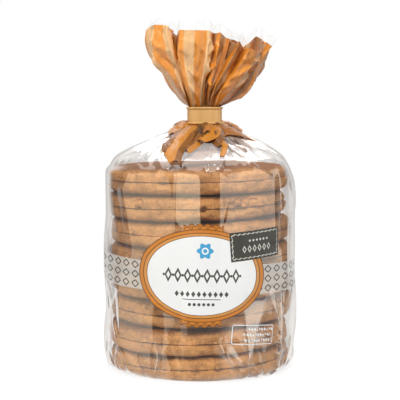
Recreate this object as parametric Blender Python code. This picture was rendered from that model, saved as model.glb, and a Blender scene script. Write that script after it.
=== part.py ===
"""A stack of sandwich cookies sealed in a gathered clear-film bag, with a gold band round its neck.

The bag is one closed body: a drum round the stack, a shallow pleated shoulder, a narrow oval neck and
an open ruffle of the film's spare length above the band. Its folds are straight lines of the film that
run from the rim of the drum, through the neck, to the cut top edge. Lengths are in metres, +Z is up and
-Y is the front.
"""

import math

import bmesh
import bpy
from mathutils import Vector

MM = 0.001

# The contents give the drum its height: eight cookies, each a sandwich of two biscuits.
COOKIE_COUNT = 8
COOKIE_PITCH = 12.2 * MM
STACK_HEIGHT = COOKIE_COUNT * COOKIE_PITCH

# The drum of film round the stack: the radius and height of each ring, in millimetres.
DRUM_RINGS = (
    (20.3, 0.0),
    (40.5, 0.0),
    (43.6, 1.4),
    (45.5, 4.5),
    (46.0, 11.0),
    (46.0, 28.0),
    (46.0, 50.0),
    (45.8, 66.0),
    (45.2, 80.0),
    (44.6, 90.0),
)
RIM_RADIUS = 43.2 * MM

# The shoulder: how far each ring is gathered, from 0 at the rim to 1 at the neck, its height above the
# stack and the height of its pleats, in millimetres.
SHOULDER_RINGS = (
    (0.00, -2.0, 0.0),
    (0.06, 2.0, 0.4),
    (0.20, 5.6, 1.2),
    (0.40, 8.8, 2.0),
    (0.62, 12.3, 2.4),
    (0.84, 15.6, 1.6),
)

# The neck and its band, a flat oval a little right of the middle.
NECK_SHIFT = 2.2 * MM
BAND_WIDTH = 16.6 * MM
BAND_DEPTH = 10.0 * MM
BAND_BOTTOM = 115.8 * MM
BAND_HEIGHT = 8.3 * MM
BAND_WALL = 0.6 * MM
BEAD_RADIUS = 0.55 * MM
BAND_STEPS = 12
BEAD_STEPS = 4
CLEARANCE = 0.3 * MM
BAND_TOP = BAND_BOTTOM + BAND_HEIGHT

# How deep a pleat is in the neck, and how thick the wall of bunched film is in the ruffle.
NECK_PLEAT = 0.9 * MM
RUFFLE_WALL = 1.0 * MM
THINNING = (1.0, 0.8, 0.6)

# Where each front fold of the ruffle ends at the cut top edge: (right, back, up) in millimetres, from
# the left end round the front to the right end. Outward folds and inward folds take turns.
FRONT_FOLDS = (
    (-26.5, 2.0, 160.0),
    (-20.0, -5.0, 166.5),
    (-13.6, -13.0, 164.0),
    (-11.2, -4.0, 161.0),
    (-8.4, -15.5, 164.3),
    (4.2, -17.0, 163.8),
    (5.4, -5.0, 161.0),
    (9.8, -16.0, 162.0),
    (15.0, -7.0, 156.0),
    (19.8, -15.5, 158.0),
    (21.6, -5.0, 154.0),
    (26.8, -13.5, 152.0),
    (28.6, -3.0, 156.0),
    (36.5, -5.0, 156.5),
)
# The folds behind follow a rule: even pleats between the two ends, of this depth and height, shallower
# towards the ends.
BACK_PLEATS = 6
END_POWER = 0.35
BACK_RIDGE = 19.0
BACK_VALLEY = 7.5
BACK_HEIGHT = 160.0
BACK_SWAY = 3.0
RIGHT_END = (37.0, 3.5, 157.0)

STEPS_PER_PANEL = 3
RUFFLE_RINGS = 6
# Half of its height above the band, the ruffle has already opened this far.
WAIST_OPENING = 0.86
WAIST_HEIGHT = 0.5
LEAST_THINNING = 0.55
SHARP_EDGE = math.radians(35)

# The hollow of the ruffle narrows to a slot between the front folds and the back ones, then closes.
SLOT_RISE = 0.55
SLOT_LENGTH_SHARE = 0.93
SLOT_MIDDLE = 1.8 * MM
SLOT_HALF_DEPTH = 2.2 * MM
THROAT_HEIGHT = 138.0 * MM


def back_folds():
    """The folds behind the opening, from the right end back to the left end."""
    left, right = FRONT_FOLDS[0][0], RIGHT_END[0]
    count = 2 * BACK_PLEATS - 1
    folds = []
    for index in range(count):
        across = (index + 0.75) / (count + 0.5)
        edge = math.sin(math.pi * across) ** END_POWER
        depth = (BACK_VALLEY if index % 2 else BACK_RIDGE) * edge
        height = BACK_HEIGHT + BACK_SWAY * math.sin(2.1 * index)
        folds.append((right + (left - right) * across, depth, height))
    return folds


FOLDS = [Vector(fold) * MM for fold in (*FRONT_FOLDS, RIGHT_END, *back_folds())]


def top_edge():
    """Points along the cut top edge, with each one's share of the film's girth."""
    points = []
    for here, there in zip(FOLDS, FOLDS[1:] + FOLDS[:1]):
        for step in range(STEPS_PER_PANEL):
            points.append(here.lerp(there, step / STEPS_PER_PANEL))
    lengths = [(b - a).length for a, b in zip(points, points[1:] + points[:1])]
    girth = sum(lengths)
    shares = [sum(lengths[:index]) / girth for index in range(len(points))]
    return points, shares


TOP_POINTS, SHARES = top_edge()
FRONT_POINTS = STEPS_PER_PANEL * (len(FRONT_FOLDS) - 1)


def inwardness(index):
    """0 on an outward fold, 1 on an inward one."""
    panel, step = divmod(index, STEPS_PER_PANEL)
    steps = step / STEPS_PER_PANEL
    here = folded_in(panel)
    there = folded_in((panel + 1) % len(FOLDS))
    return here + (there - here) * steps


def folded_in(fold):
    """Whether the top edge turns inwards at this fold."""
    before, here, after = (FOLDS[(fold + offset) % len(FOLDS)] for offset in (-1, 0, 1))
    turn = (here - before).xy.cross((after - here).xy)
    return 0.0 if turn > 0 else 1.0


def direction(share):
    """The plan direction of a line of film on the drum. Share 0 is the left end."""
    angle = math.pi + 2 * math.pi * share
    return Vector((math.cos(angle), math.sin(angle), 0))


def neck_point(index, height):
    """A point of the bunched film inside the band."""
    half_width = BAND_WIDTH / 2 - BAND_WALL - CLEARANCE
    half_depth = BAND_DEPTH / 2 - BAND_WALL - CLEARANCE
    pleat = NECK_PLEAT * inwardness(index)
    way = direction(SHARES[index])
    across = way.x * (half_width - pleat) + NECK_SHIFT
    back = way.y * (half_depth - pleat)
    return Vector((across, back, height))


def drum_ring(radius, height):
    """A round ring of the drum, from millimetres."""
    middle = Vector((0, 0, height * MM))
    return [direction(share) * radius * MM + middle for share in SHARES]


def shoulder_ring(gathered, above_stack, pleat):
    """A ring of the shoulder, its outward folds lifted and its inward ones lowered, from millimetres."""
    ring = []
    for index, share in enumerate(SHARES):
        point = (direction(share) * RIM_RADIUS).lerp(neck_point(index, 0), gathered)
        lift = pleat * (0.5 - inwardness(index))
        point.z = STACK_HEIGHT + (above_stack + lift) * MM
        ring.append(point)
    return ring


def neck_ring(height):
    """A ring of the bunched film inside the band."""
    return [neck_point(index, height) for index in range(len(SHARES))]


def ruffle_ring(rise):
    """A ring of the ruffle, from 0 at the band to 1 at the cut edge. It opens like a goblet."""
    ring = []
    for index, top in enumerate(TOP_POINTS):
        neck = neck_point(index, BAND_TOP)
        waist = neck.lerp(top, WAIST_OPENING)
        waist.z = neck.z + WAIST_HEIGHT * (top.z - neck.z)
        ring.append(neck.lerp(waist, rise).lerp(waist.lerp(top, rise), rise))
    return ring


def inner_ring(outer, wall):
    """The same ring moved in by the wall, less at a sharp fold than the fold could take."""
    count = len(outer)
    ring = []
    for index, point in enumerate(outer):
        before, after = outer[index - 1], outer[(index + 1) % count]
        along = (after - point).xy.normalized() + (point - before).xy.normalized()
        normal = Vector((-along.y, along.x)).normalized()
        side = (after - point).xy.normalized()
        share = max(LEAST_THINNING, abs(normal.dot(Vector((-side.y, side.x)))))
        move = normal * (wall / share)
        ring.append(Vector((point.x + move.x, point.y + move.y, point.z)))
    return ring


def slot_ring():
    """The ring where the hollow narrows to a slot: each line of film runs straight back, or forward, to it."""
    ring = ruffle_ring(SLOT_RISE)
    left, right = min(point.x for point in ring), max(point.x for point in ring)
    middle, half_length = (left + right) / 2, (right - left) / 2
    for index, point in enumerate(ring):
        along = SLOT_LENGTH_SHARE * (point.x - middle)
        side = -1 if 0 < index <= FRONT_POINTS else 1
        depth = SLOT_HALF_DEPTH * math.sqrt(1 - (along / half_length) ** 2)
        point.x, point.y = middle + along, SLOT_MIDDLE + side * depth
    return ring


def material(name, colour, roughness, metallic=0.0):
    """A plain finish in the colour of the real piece."""
    made = bpy.data.materials.new(name)
    made.use_nodes = True
    shader = made.node_tree.nodes["Principled BSDF"]
    shader.inputs["Base Color"].default_value = (*colour, 1)
    shader.inputs["Roughness"].default_value = roughness
    shader.inputs["Metallic"].default_value = metallic
    return made


def loft(name, rings, bottom, top):
    """A closed body through rings of equal count, closed by a fan to a point at either end."""
    mesh = bmesh.new()
    rows = [[mesh.verts.new(point) for point in ring] for ring in rings]
    count = len(rows[0])
    for low, high in zip(rows, rows[1:]):
        for index in range(count):
            after = (index + 1) % count
            mesh.faces.new((low[index], low[after], high[after], high[index]))
    first, last = mesh.verts.new(bottom), mesh.verts.new(top)
    for index in range(count):
        after = (index + 1) % count
        mesh.faces.new((first, rows[0][after], rows[0][index]))
        mesh.faces.new((last, rows[-1][index], rows[-1][after]))
    bmesh.ops.triangulate(mesh, faces=mesh.faces)
    data = bpy.data.meshes.new(name)
    mesh.to_mesh(data)
    mesh.free()
    data.shade_smooth()
    data.set_sharp_from_angle(angle=SHARP_EDGE)
    return bpy.data.objects.new(name, data)


def bag():
    """Drum, shoulder, neck and ruffle, one closed body whose mouth is a hollow throat."""
    rings = [drum_ring(*ring) for ring in DRUM_RINGS]
    rings += [shoulder_ring(*ring) for ring in SHOULDER_RINGS]
    rings += [neck_ring(BAND_BOTTOM - CLEARANCE), neck_ring(BAND_TOP + CLEARANCE)]
    outside = [ruffle_ring((step + 1) / RUFFLE_RINGS) for step in range(RUFFLE_RINGS)]
    rings += outside
    for ring, thinned in zip(reversed(outside[3:]), THINNING):
        rings.append(inner_ring(ring, RUFFLE_WALL * thinned))
    rings.append(slot_ring())
    throat = Vector((NECK_SHIFT, SLOT_MIDDLE, THROAT_HEIGHT))
    return loft("bag", rings, Vector((0, 0, 0)), throat)


def poly_curve(name, points):
    """A closed curve through points of two or three coordinates, for a section or a path."""
    data = bpy.data.curves.new(name, "CURVE")
    data.dimensions = "3D"
    data.twist_mode = "Z_UP"
    spline = data.splines.new("POLY")
    spline.points.add(len(points) - 1)
    for place, point in zip(spline.points, points):
        place.co = (*Vector(point).to_3d(), 1)
    spline.use_cyclic_u = True
    return bpy.data.objects.new(name, data)


def band_path():
    """The oval that the middle of the band's wall follows: two straight sides and two round ends."""
    radius = (BAND_DEPTH - BAND_WALL) / 2
    straight = (BAND_WIDTH - BAND_DEPTH) / 2
    points = []
    for side in (1, -1):
        for step in range(BAND_STEPS + 1):
            angle = math.pi * (step / BAND_STEPS - 0.5)
            across = side * (straight + radius * math.cos(angle)) + NECK_SHIFT
            points.append((across, side * radius * math.sin(angle), BAND_BOTTOM + BAND_HEIGHT / 2))
    return points


def band_section():
    """The wall's section: flat inside, and outside a round bead along the bottom and the top edge."""
    half, wall = BAND_HEIGHT / 2, BAND_WALL / 2
    bead_height = half - BEAD_RADIUS
    outside = []
    for sign in (-1, 1):
        for step in range(BEAD_STEPS + 1):
            angle = math.pi * (step / BEAD_STEPS - 0.5)
            out = wall + BEAD_RADIUS * math.cos(angle)
            outside.append((out, sign * bead_height + BEAD_RADIUS * math.sin(angle)))
    return [(-wall, half), *reversed(outside), (-wall, -half)]


def neck_band(collection, guides):
    """The strip of the band, its section carried round the oval."""
    path = poly_curve("neck_band", band_path())
    section = poly_curve("band_section", band_section())
    section.hide_render = True
    section.display_type = "WIRE"
    guides.objects.link(section)
    path.data.bevel_mode = "OBJECT"
    path.data.bevel_object = section
    path.data.materials.append(material("gold_band", (0.80, 0.44, 0.13), 0.3, 0.6))
    collection.objects.link(path)


def main():
    for old in list(bpy.data.objects):
        bpy.data.objects.remove(old, do_unlink=True)
    collection = bpy.data.collections.new("bag_of_cookies")
    bpy.context.scene.collection.children.link(collection)
    guides = bpy.data.collections.new("guides")
    bpy.context.scene.collection.children.link(guides)
    film = bag()
    film.data.materials.append(material("film", (0.52, 0.36, 0.24), 0.25))
    collection.objects.link(film)
    neck_band(collection, guides)


main()
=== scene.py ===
# %% [markdown]
# # A bag of sandwich cookies
#
# The real thing is a stack of eight round spiced cookies in a bag of thin clear film. The film is
# gathered above the stack, held by a gold band, and its spare length opens into a ruffle. This lesson
# dresses a plain solid model of that pack: first the camera and the light, then the biscuits, then the
# film with its creases and its print, and last the ruffle and the band.

# %% Load the frame
import math
from functools import partialmethod

import bpy
import numpy as np
from mathutils import Matrix, Vector


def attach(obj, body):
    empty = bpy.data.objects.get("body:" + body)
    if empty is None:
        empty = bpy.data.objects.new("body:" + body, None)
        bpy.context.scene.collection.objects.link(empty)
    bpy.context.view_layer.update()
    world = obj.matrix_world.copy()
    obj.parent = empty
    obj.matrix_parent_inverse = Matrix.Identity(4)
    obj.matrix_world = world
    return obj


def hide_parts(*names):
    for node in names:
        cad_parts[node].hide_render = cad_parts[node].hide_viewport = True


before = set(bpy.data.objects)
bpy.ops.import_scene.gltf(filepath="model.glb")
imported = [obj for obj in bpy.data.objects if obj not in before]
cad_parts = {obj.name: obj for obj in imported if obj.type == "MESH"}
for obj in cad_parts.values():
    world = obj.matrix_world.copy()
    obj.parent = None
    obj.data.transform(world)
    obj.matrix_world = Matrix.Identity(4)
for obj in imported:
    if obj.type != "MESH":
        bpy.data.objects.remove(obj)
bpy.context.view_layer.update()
MM = 0.001

# %% [markdown]
# ## Sizes
#
# A packet is easiest to think about in millimetres, so the sizes here are in millimetres and are
# multiplied by MM when a mesh is made. The drum of film, the neck and the band repeat the sizes of the
# solid model, so that every piece lands where the solids are.

# %% Sizes that several pieces share
COOKIES = 8
PITCH = 12.2
STACK = COOKIES * PITCH
DRUM = 46.0
RIM = 43.2
GIRTH = 2 * math.pi * DRUM

NECK_SHIFT = 2.2
BAND_WIDTH = 16.6
BAND_DEPTH = 10.0
BAND_BOTTOM = 115.8
BAND_HEIGHT = 8.3
BAND_TOP = BAND_BOTTOM + BAND_HEIGHT
BAND_WALL = 0.6
BEAD = 0.55
CLEARANCE = 0.3
NECK_HALF_WIDTH = BAND_WIDTH / 2 - BAND_WALL - CLEARANCE
NECK_HALF_DEPTH = BAND_DEPTH / 2 - BAND_WALL - CLEARANCE
NECK_FOLD = 0.9
print("stack", STACK, "girth", round(GIRTH, 1))

# %% [markdown]
# ## Small tools for nodes
#
# A shader that draws a print is a long sum of small steps. Writing each step as a node and a link hides
# what it says, so a Field stands for the output of a node, and adding or comparing two Fields adds the
# Math node that does it. The same tool works in material trees and in Geometry Nodes trees.


# %% A number that varies over a surface
def feed(tree, slot, value):
    """Sets an input of a node. A Field or a socket is linked to it."""
    if isinstance(value, Field):
        value = value.socket
    if isinstance(value, bpy.types.NodeSocket):
        tree.links.new(value, slot)
    else:
        slot.default_value = value


class Field:
    """The output of a node, with arithmetic that adds Math nodes."""

    def __init__(self, tree, socket):
        self.tree, self.socket = tree, socket

    def math(self, operation, *others):
        node = self.tree.nodes.new("ShaderNodeMath")
        node.operation = operation
        for slot, value in zip(node.inputs, (self, *others)):
            feed(self.tree, slot, value)
        return Field(self.tree, node.outputs[0])

    __add__ = __radd__ = partialmethod(math, "ADD")
    __sub__ = partialmethod(math, "SUBTRACT")
    __mul__ = __rmul__ = partialmethod(math, "MULTIPLY")
    __truediv__ = partialmethod(math, "DIVIDE")
    __neg__ = partialmethod(math, "MULTIPLY", -1)
    __lt__ = partialmethod(math, "LESS_THAN")
    __gt__ = partialmethod(math, "GREATER_THAN")
    size = partialmethod(math, "ABSOLUTE")
    both = partialmethod(math, "MINIMUM")
    either = partialmethod(math, "MAXIMUM")

    def within(self, low, high):
        return (self > low).both(self < high)

    def repeat(self, length):
        """The distance to the middle of the nearest of a row of cells."""
        return (self / length).math("FRACT") * length - length / 2


def length_of(across, up):
    """The length of the line whose legs are two Fields."""
    return (across * across + up * up).math("SQRT")


# %% Nodes by name
def node_of(tree, kind, settings=None, **inputs):
    """A new node, its properties and its inputs set by name, where a Field or a socket makes a link."""
    node = tree.nodes.new(kind)
    for name, value in (settings or {}).items():
        setattr(node, name, value)
    for name, value in inputs.items():
        feed(tree, node.inputs[name.replace("_", " ")], value)
    return node


def vector_math(tree, operation, vector, second=None, **inputs):
    """The result of a Vector Math node."""
    node = node_of(tree, "ShaderNodeVectorMath", {"operation": operation}, Vector=vector, **inputs)
    if second is not None:
        feed(tree, node.inputs[1], second)
    return node.outputs["Value" if operation in ("LENGTH", "DOT_PRODUCT") else "Vector"]


def noise(tree, vector, scale, detail=2.0, roughness=0.5, seed=0.0):
    """A smooth noise around one half, as a Field."""
    amounts = {"W": seed, "Scale": scale, "Detail": detail, "Roughness": roughness}
    node = node_of(tree, "ShaderNodeTexNoise", {"noise_dimensions": "4D"}, Vector=vector, **amounts)
    return Field(tree, node.outputs[0])


def object_place(tree):
    """Object coordinates, in which a pattern stays with its piece."""
    return tree.nodes.new("ShaderNodeTexCoord").outputs["Object"]


def point_value(tree, name):
    """The number that each point of the piece holds under a name."""
    return Field(tree, node_of(tree, "ShaderNodeAttribute", {"attribute_name": name}).outputs["Fac"])


# %% Colours, materials and objects
def linear(red, green, blue):
    """A colour given as it looks on a screen, 0 to 255, as the light that a shader works with."""
    shown = (red / 255, green / 255, blue / 255)
    light = [c / 12.92 if c <= 0.04045 else ((c + 0.055) / 1.055) ** 2.4 for c in shown]
    return (*light, 1.0)


def new_material(name):
    """A material with an empty tree and its output."""
    made = bpy.data.materials.new(name)
    made.use_nodes = True
    tree = made.node_tree
    tree.nodes.clear()
    return made, tree, tree.nodes.new("ShaderNodeOutputMaterial")


def colour_between(tree, amount, first, second, blend="MIX"):
    """A colour that goes from the first to the second as a Field goes from 0 to 1."""
    node = node_of(tree, "ShaderNodeMix", {"data_type": "RGBA", "blend_type": blend})
    for index, value in ((0, amount), (6, first), (7, second)):
        feed(tree, node.inputs[index], value)
    return node.outputs[2]


def shader_between(tree, amount, first, second):
    """A shader that goes from the first to the second as a Field goes from 0 to 1."""
    node = node_of(tree, "ShaderNodeMixShader", Fac=amount)
    tree.links.new(first, node.inputs[1])
    tree.links.new(second, node.inputs[2])
    return node.outputs[0]


def plain_shader(tree, colour, roughness, normal=None, **inputs):
    """A Principled shader with a colour, a roughness and, where it has one, a bump."""
    shader = node_of(tree, "ShaderNodeBsdfPrincipled", Base_Color=colour, Roughness=roughness, **inputs)
    if normal is not None:
        tree.links.new(normal, shader.inputs["Normal"])
    return shader.outputs[0]


def new_object(name, data):
    """An object in the scene for a mesh, a lamp or a camera."""
    made = bpy.data.objects.new(name, data)
    bpy.context.scene.collection.objects.link(made)
    return made


print("middle grey on a screen is", round(linear(128, 128, 128)[0], 3), "as light")


# %% [markdown]
# ## Camera
#
# The photograph was taken from a little above the pack with a long lens, so its verticals stay nearly
# upright. The distance, the height and the tilt come from a fit of the rims and seams of the stack.

# %% Camera
PHOTO_WIDTH = 400
FOCAL_PIXELS = 1201.7
SENSOR = 36.0
CAMERA_DISTANCE = 576.6
CAMERA_HEIGHT = 130.9
CAMERA_TILT = math.radians(5.11)

lens = bpy.data.cameras.new("photo_camera")
lens.sensor_width = SENSOR
lens.lens = FOCAL_PIXELS / PHOTO_WIDTH * SENSOR
camera = new_object("photo_camera", lens)
camera.location = (0, -CAMERA_DISTANCE * MM, CAMERA_HEIGHT * MM)
camera.rotation_euler = (math.pi / 2 - CAMERA_TILT, 0, 0)
bpy.context.scene.camera = camera
print("lens", round(lens.lens, 1), "mm")

# %% [markdown]
# ## Light
#
# Clear film is drawn by what it mirrors. On the real pack tall softboxes stand left and right of the
# camera, and the film shows them as milky sheets. What the film mirrors and what lights the cookies are
# set apart here: the four sheens, left, right, in front and above, are seen in mirror images only, while
# the key lamp and the two fills light the pack and aren't mirrored. Narrow lamps high up make the thin
# glints on creases, and a lamp high behind lights the ruffle from the back.


# %% Lamps
WHITE = (1.0, 1.0, 1.0)
WARM = (1.0, 0.9, 0.72)
PALE = (0.92, 0.9, 0.84)
LAMP_AIM = Vector((0, 0, 0.08))
LAMP_WATTS = 4


def softbox(name, azimuth, elevation, distance, size, radiance, colour=WHITE, lights=True, mirrored=True):
    """A lamp of the given brightness that faces the pack. Azimuth 0 is the camera's side, right is plus."""
    lamp = bpy.data.lights.new(name, "AREA")
    lamp.shape = "RECTANGLE"
    lamp.size, lamp.size_y = size
    lamp.energy = radiance * LAMP_WATTS * size[0] * size[1]
    lamp.color = colour
    around, up = math.radians(azimuth), math.radians(elevation)
    flat = math.cos(up) * distance
    place = LAMP_AIM + Vector((math.sin(around) * flat, -math.cos(around) * flat, math.sin(up) * distance))
    holder = new_object(name, lamp)
    holder.location = place
    holder.rotation_euler = (LAMP_AIM - place).to_track_quat("-Z", "Y").to_euler()
    holder.visible_diffuse = lights
    holder.visible_glossy = mirrored


softbox("sheen_left", -67, -7, 0.75, (0.95, 0.92), 0.8, WARM, lights=False)
softbox("sheen_right", 68, 6, 0.75, (1.5, 0.6), 1.0, PALE, lights=False)
softbox("sheen_front", -12, 9, 0.75, (0.32, 0.38), 1.4, WARM, lights=False)
softbox("sheen_above", -10, 84, 0.8, (1.3, 1.0), 1.0, lights=False)
softbox("key_lamp", -2, 46, 0.9, (0.48, 0.39), 8.6, mirrored=False)
softbox("fill_left", -80, 10, 0.8, (0.9, 1.2), 0.3, mirrored=False)
softbox("fill_right", 80, 10, 0.8, (0.9, 1.2), 0.1, mirrored=False)
softbox("glint_left", -24, 50, 0.9, (0.04, 0.4), 5.0)
softbox("glint_right", 30, 50, 0.9, (0.04, 0.4), 5.0)
softbox("lamp_high_back", 170, 55, 0.9, (0.8, 0.5), 2.5)

# %% [markdown]
# ## World
#
# The world stands for the studio's walls, which the film mirrors too. It is white behind the pack, pale
# above and below it, and dark at its sides and in front of it, so that the edges of the bag stay clear.
# The camera itself sees plain white.

# %% World
WORLD_BEHIND = 0.8
WORLD_FRONT = 0.15
WORLD_ABOVE = 0.5
WORLD_BELOW = 0.9
BEHIND_FROM = 0.5
BEHIND_SLOPE = 3.0
world = bpy.data.worlds.new("studio")
bpy.context.scene.world = world
world.use_nodes = True
sky = world.node_tree
sky.nodes.clear()
way = sky.nodes.new("ShaderNodeSeparateXYZ")
sky.links.new(sky.nodes.new("ShaderNodeTexCoord").outputs["Generated"], way.inputs[0])
behind = (Field(sky, way.outputs["Y"]) - BEHIND_FROM) * BEHIND_SLOPE
behind = behind.both(WORLD_BEHIND).either(WORLD_FRONT)
height = Field(sky, way.outputs["Z"])
above = height.either(0.0) * WORLD_ABOVE - height.both(0.0) * WORLD_BELOW
seen = Field(sky, sky.nodes.new("ShaderNodeLightPath").outputs["Is Camera Ray"])
backdrop = node_of(sky, "ShaderNodeBackground", Color=(1, 1, 1, 1), Strength=seen.either(behind + above))
sky.links.new(backdrop.outputs[0], sky.nodes.new("ShaderNodeOutputWorld").inputs[0])
print("world", WORLD_BEHIND, "behind", WORLD_FRONT, "in front")

# %% [markdown]
# ## Floor
#
# The photograph has no edge between floor and wall. A round sheet of paper that fades out to the white
# world gives the pack something to stand on, with a soft shadow where it touches. The sheet is mostly see
# through all over, so the shadow stays faint and less light comes up to the foot of the stack.

# %% A round sheet of paper
FLOOR_RADIUS = 420.0
FADE_START = 0.09
FADE_LENGTH = 0.16
FLOOR_STEPS = 64
THIN_PAPER = 0.82
turns = [2 * math.pi * step / FLOOR_STEPS for step in range(FLOOR_STEPS)]
floor_mesh = bpy.data.meshes.new("floor")
floor_mesh.from_pydata(
    [(math.cos(a) * FLOOR_RADIUS * MM, math.sin(a) * FLOOR_RADIUS * MM, 0) for a in turns],
    [],
    [tuple(range(FLOOR_STEPS))],
)
floor = new_object("floor", floor_mesh)
paper, tree, out = new_material("studio_paper")
reach = Field(tree, vector_math(tree, "LENGTH", object_place(tree)))
see_through = ((reach - FADE_START) / FADE_LENGTH).both(1.0).either(THIN_PAPER)
sheet = plain_shader(tree, (0.98, 0.98, 0.98, 1), 0.9)
nothing = tree.nodes.new("ShaderNodeBsdfTransparent").outputs[0]
tree.links.new(shader_between(tree, see_through, sheet, nothing), out.inputs[0])
floor_mesh.materials.append(paper)
print("floor", FLOOR_RADIUS, "mm")

# %% [markdown]
# ## Rendering
#
# The photograph's white is the screen's own white, so the Standard view is used, which doesn't soften
# bright colours. A line of sight passes many faces of clear film on its way through the bag, so more of
# them are allowed than at first.

# %% Colour view and bounces
scene = bpy.context.scene
scene.view_settings.view_transform = "Standard"
scene.view_settings.look = "None"
scene.cycles.transparent_max_bounces = 24
scene.cycles.max_bounces = 10
print("bounces", scene.cycles.max_bounces, "and", scene.cycles.transparent_max_bounces, "through clear faces")

# %% [markdown]
# ## Biscuits
#
# A speculoos biscuit is a thin disc of short dough. Its baked top is rounded at the rim and a little
# crowned, so two stacked cookies leave a dark slit. Its flat underside keeps a sharper edge. Two of them,
# flat sides together, hold a thin layer of syrup. The outline of one biscuit is drawn once as a turned
# profile. Geometry Nodes then set it on two points, one of them upside down, and push its surface about
# with noise, so that no two biscuits are alike.


# %% Tools for meshes
def ring_of(right, back, height):
    """A row of points round a shape, all at one height."""
    return np.stack([right, back, np.full_like(right, height)], -1)


def ring_faces(rows, columns, start=0):
    """The numbers of the points of a grid that closes round its rows, and the faces between them."""
    index = start + np.arange(rows * columns).reshape(rows, columns)
    after = np.roll(index, -1, axis=1)
    quads = np.stack([index[:-1], after[:-1], after[1:], index[1:]], axis=-1)
    return index, quads.reshape(-1, 4).tolist()


def closed_mesh(name, places, rows, columns):
    """A mesh from rows of points round a shape, with a fan to the last two points at either end."""
    index, faces = ring_faces(rows, columns)
    after = np.roll(index, -1, axis=1)
    first, last = rows * columns, rows * columns + 1
    faces += [(first, after[0, c], index[0, c]) for c in range(columns)]
    faces += [(last, index[-1, c], after[-1, c]) for c in range(columns)]
    mesh = bpy.data.meshes.new(name)
    mesh.from_pydata((places * MM).tolist(), [], faces)
    mesh.shade_smooth()
    return mesh


def points_of(mesh):
    """The points of a mesh in millimetres, one row for each."""
    flat = np.empty(len(mesh.vertices) * 3)
    mesh.vertices.foreach_get("co", flat)
    return flat.reshape(-1, 3) / MM


def point_values(mesh, name, values):
    """A number for each point of the mesh, for the material to read."""
    mesh.attributes.new(name, "FLOAT", "POINT").data.foreach_set("value", values)


# %% The turned biscuit
BISCUIT_RADIUS = 42.3
BISCUIT_THICK = 5.9
BISCUIT_STEPS = 360
UNDER_EDGE = (0.35, 0.4)
BAKED_EDGE = (3.6, 3.5)
BAKED_DROP = 0.5
SQUARENESS = 2.05
# Where the darker baked top begins, as a share of the thickness: partly toasting, partly painted shade.
TOAST_AND_SHADE_START = 0.62


def quarter(centre, reach, start, end, count, power=2.0):
    """Points on a quarter of an ellipse between two angles in degrees, squarer as the power grows."""
    angles = np.radians(np.linspace(start, end, count))
    out = reach[0] * np.abs(np.cos(angles)) ** (2 / power)
    up = reach[1] * np.sign(np.sin(angles)) * np.abs(np.sin(angles)) ** (2 / power)
    return [(centre[0] + x, centre[1] + z) for x, z in zip(out.tolist(), up.tolist())]


def biscuit_profile():
    """Radius and height along the section, from the middle of the underside to the middle of the top."""
    low = (BISCUIT_RADIUS - UNDER_EDGE[0], UNDER_EDGE[1])
    rim = BISCUIT_THICK - BAKED_DROP
    high = (BISCUIT_RADIUS - BAKED_EDGE[0], rim - BAKED_EDGE[1])
    points = [(16.0, 0.0), (34.0, 0.0), (40.5, 0.0)]
    points += quarter(low, UNDER_EDGE, -90, 0, 4)
    points += quarter(high, BAKED_EDGE, 0, 88, 20, SQUARENESS)
    return points + [(36.5, rim + 0.12), (33.0, rim + 0.3), (26.0, BISCUIT_THICK), (14.0, BISCUIT_THICK)]


def turned(name, profile, steps, low, high):
    """A closed turned mesh, its two ends closed by a fan to a point on the axis."""
    angles = np.arange(steps) * 2 * math.pi / steps
    right, back = np.cos(angles), np.sin(angles)
    rings = np.array([ring_of(right * radius, back * radius, height) for radius, height in profile])
    ends = [[0, 0, low], [0, 0, high]]
    return closed_mesh(name, np.vstack([rings.reshape(-1, 3), ends]), len(profile), steps)


biscuit_mesh = turned("biscuit_source", biscuit_profile(), BISCUIT_STEPS, 0, BISCUIT_THICK)
biscuit_source = bpy.data.objects.new("biscuit_source", biscuit_mesh)
# Each point holds how far it is into the baked top, which the material paints darker: partly toasting, partly
# painted shade beside the slits between cookies.
levels = points_of(biscuit_mesh)[:, 2] / BISCUIT_THICK
point_values(biscuit_mesh, "toast_and_shade", np.maximum(0.0, (levels - TOAST_AND_SHADE_START) / (1 - TOAST_AND_SHADE_START)))
print("biscuit", len(biscuit_mesh.polygons), "faces")

# %% [markdown]
# ## Baked finish
#
# The crust is brown, with a sandy grain, small pits where sugar melted and short cracks. It is darker
# towards the baked top and its rim, partly as toasting and partly as painted shade beside the slits
# between stacked cookies. Large soft noise changes the colour, a fine one gives the grain, the edges of
# Voronoi cells give the cracks, and all of them also move a bump, so that they catch the light.


# %% Biscuit and syrup materials
BISCUIT_LIGHT = (0.80, 0.385, 0.125, 1)
BISCUIT_DARK = (0.30, 0.110, 0.022, 1)
BISCUIT_PIT = (0.17, 0.07, 0.026, 1)
SYRUP_DARK = (0.10, 0.038, 0.012, 1)
SYRUP_LIGHT = (0.30, 0.125, 0.042, 1)


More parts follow.
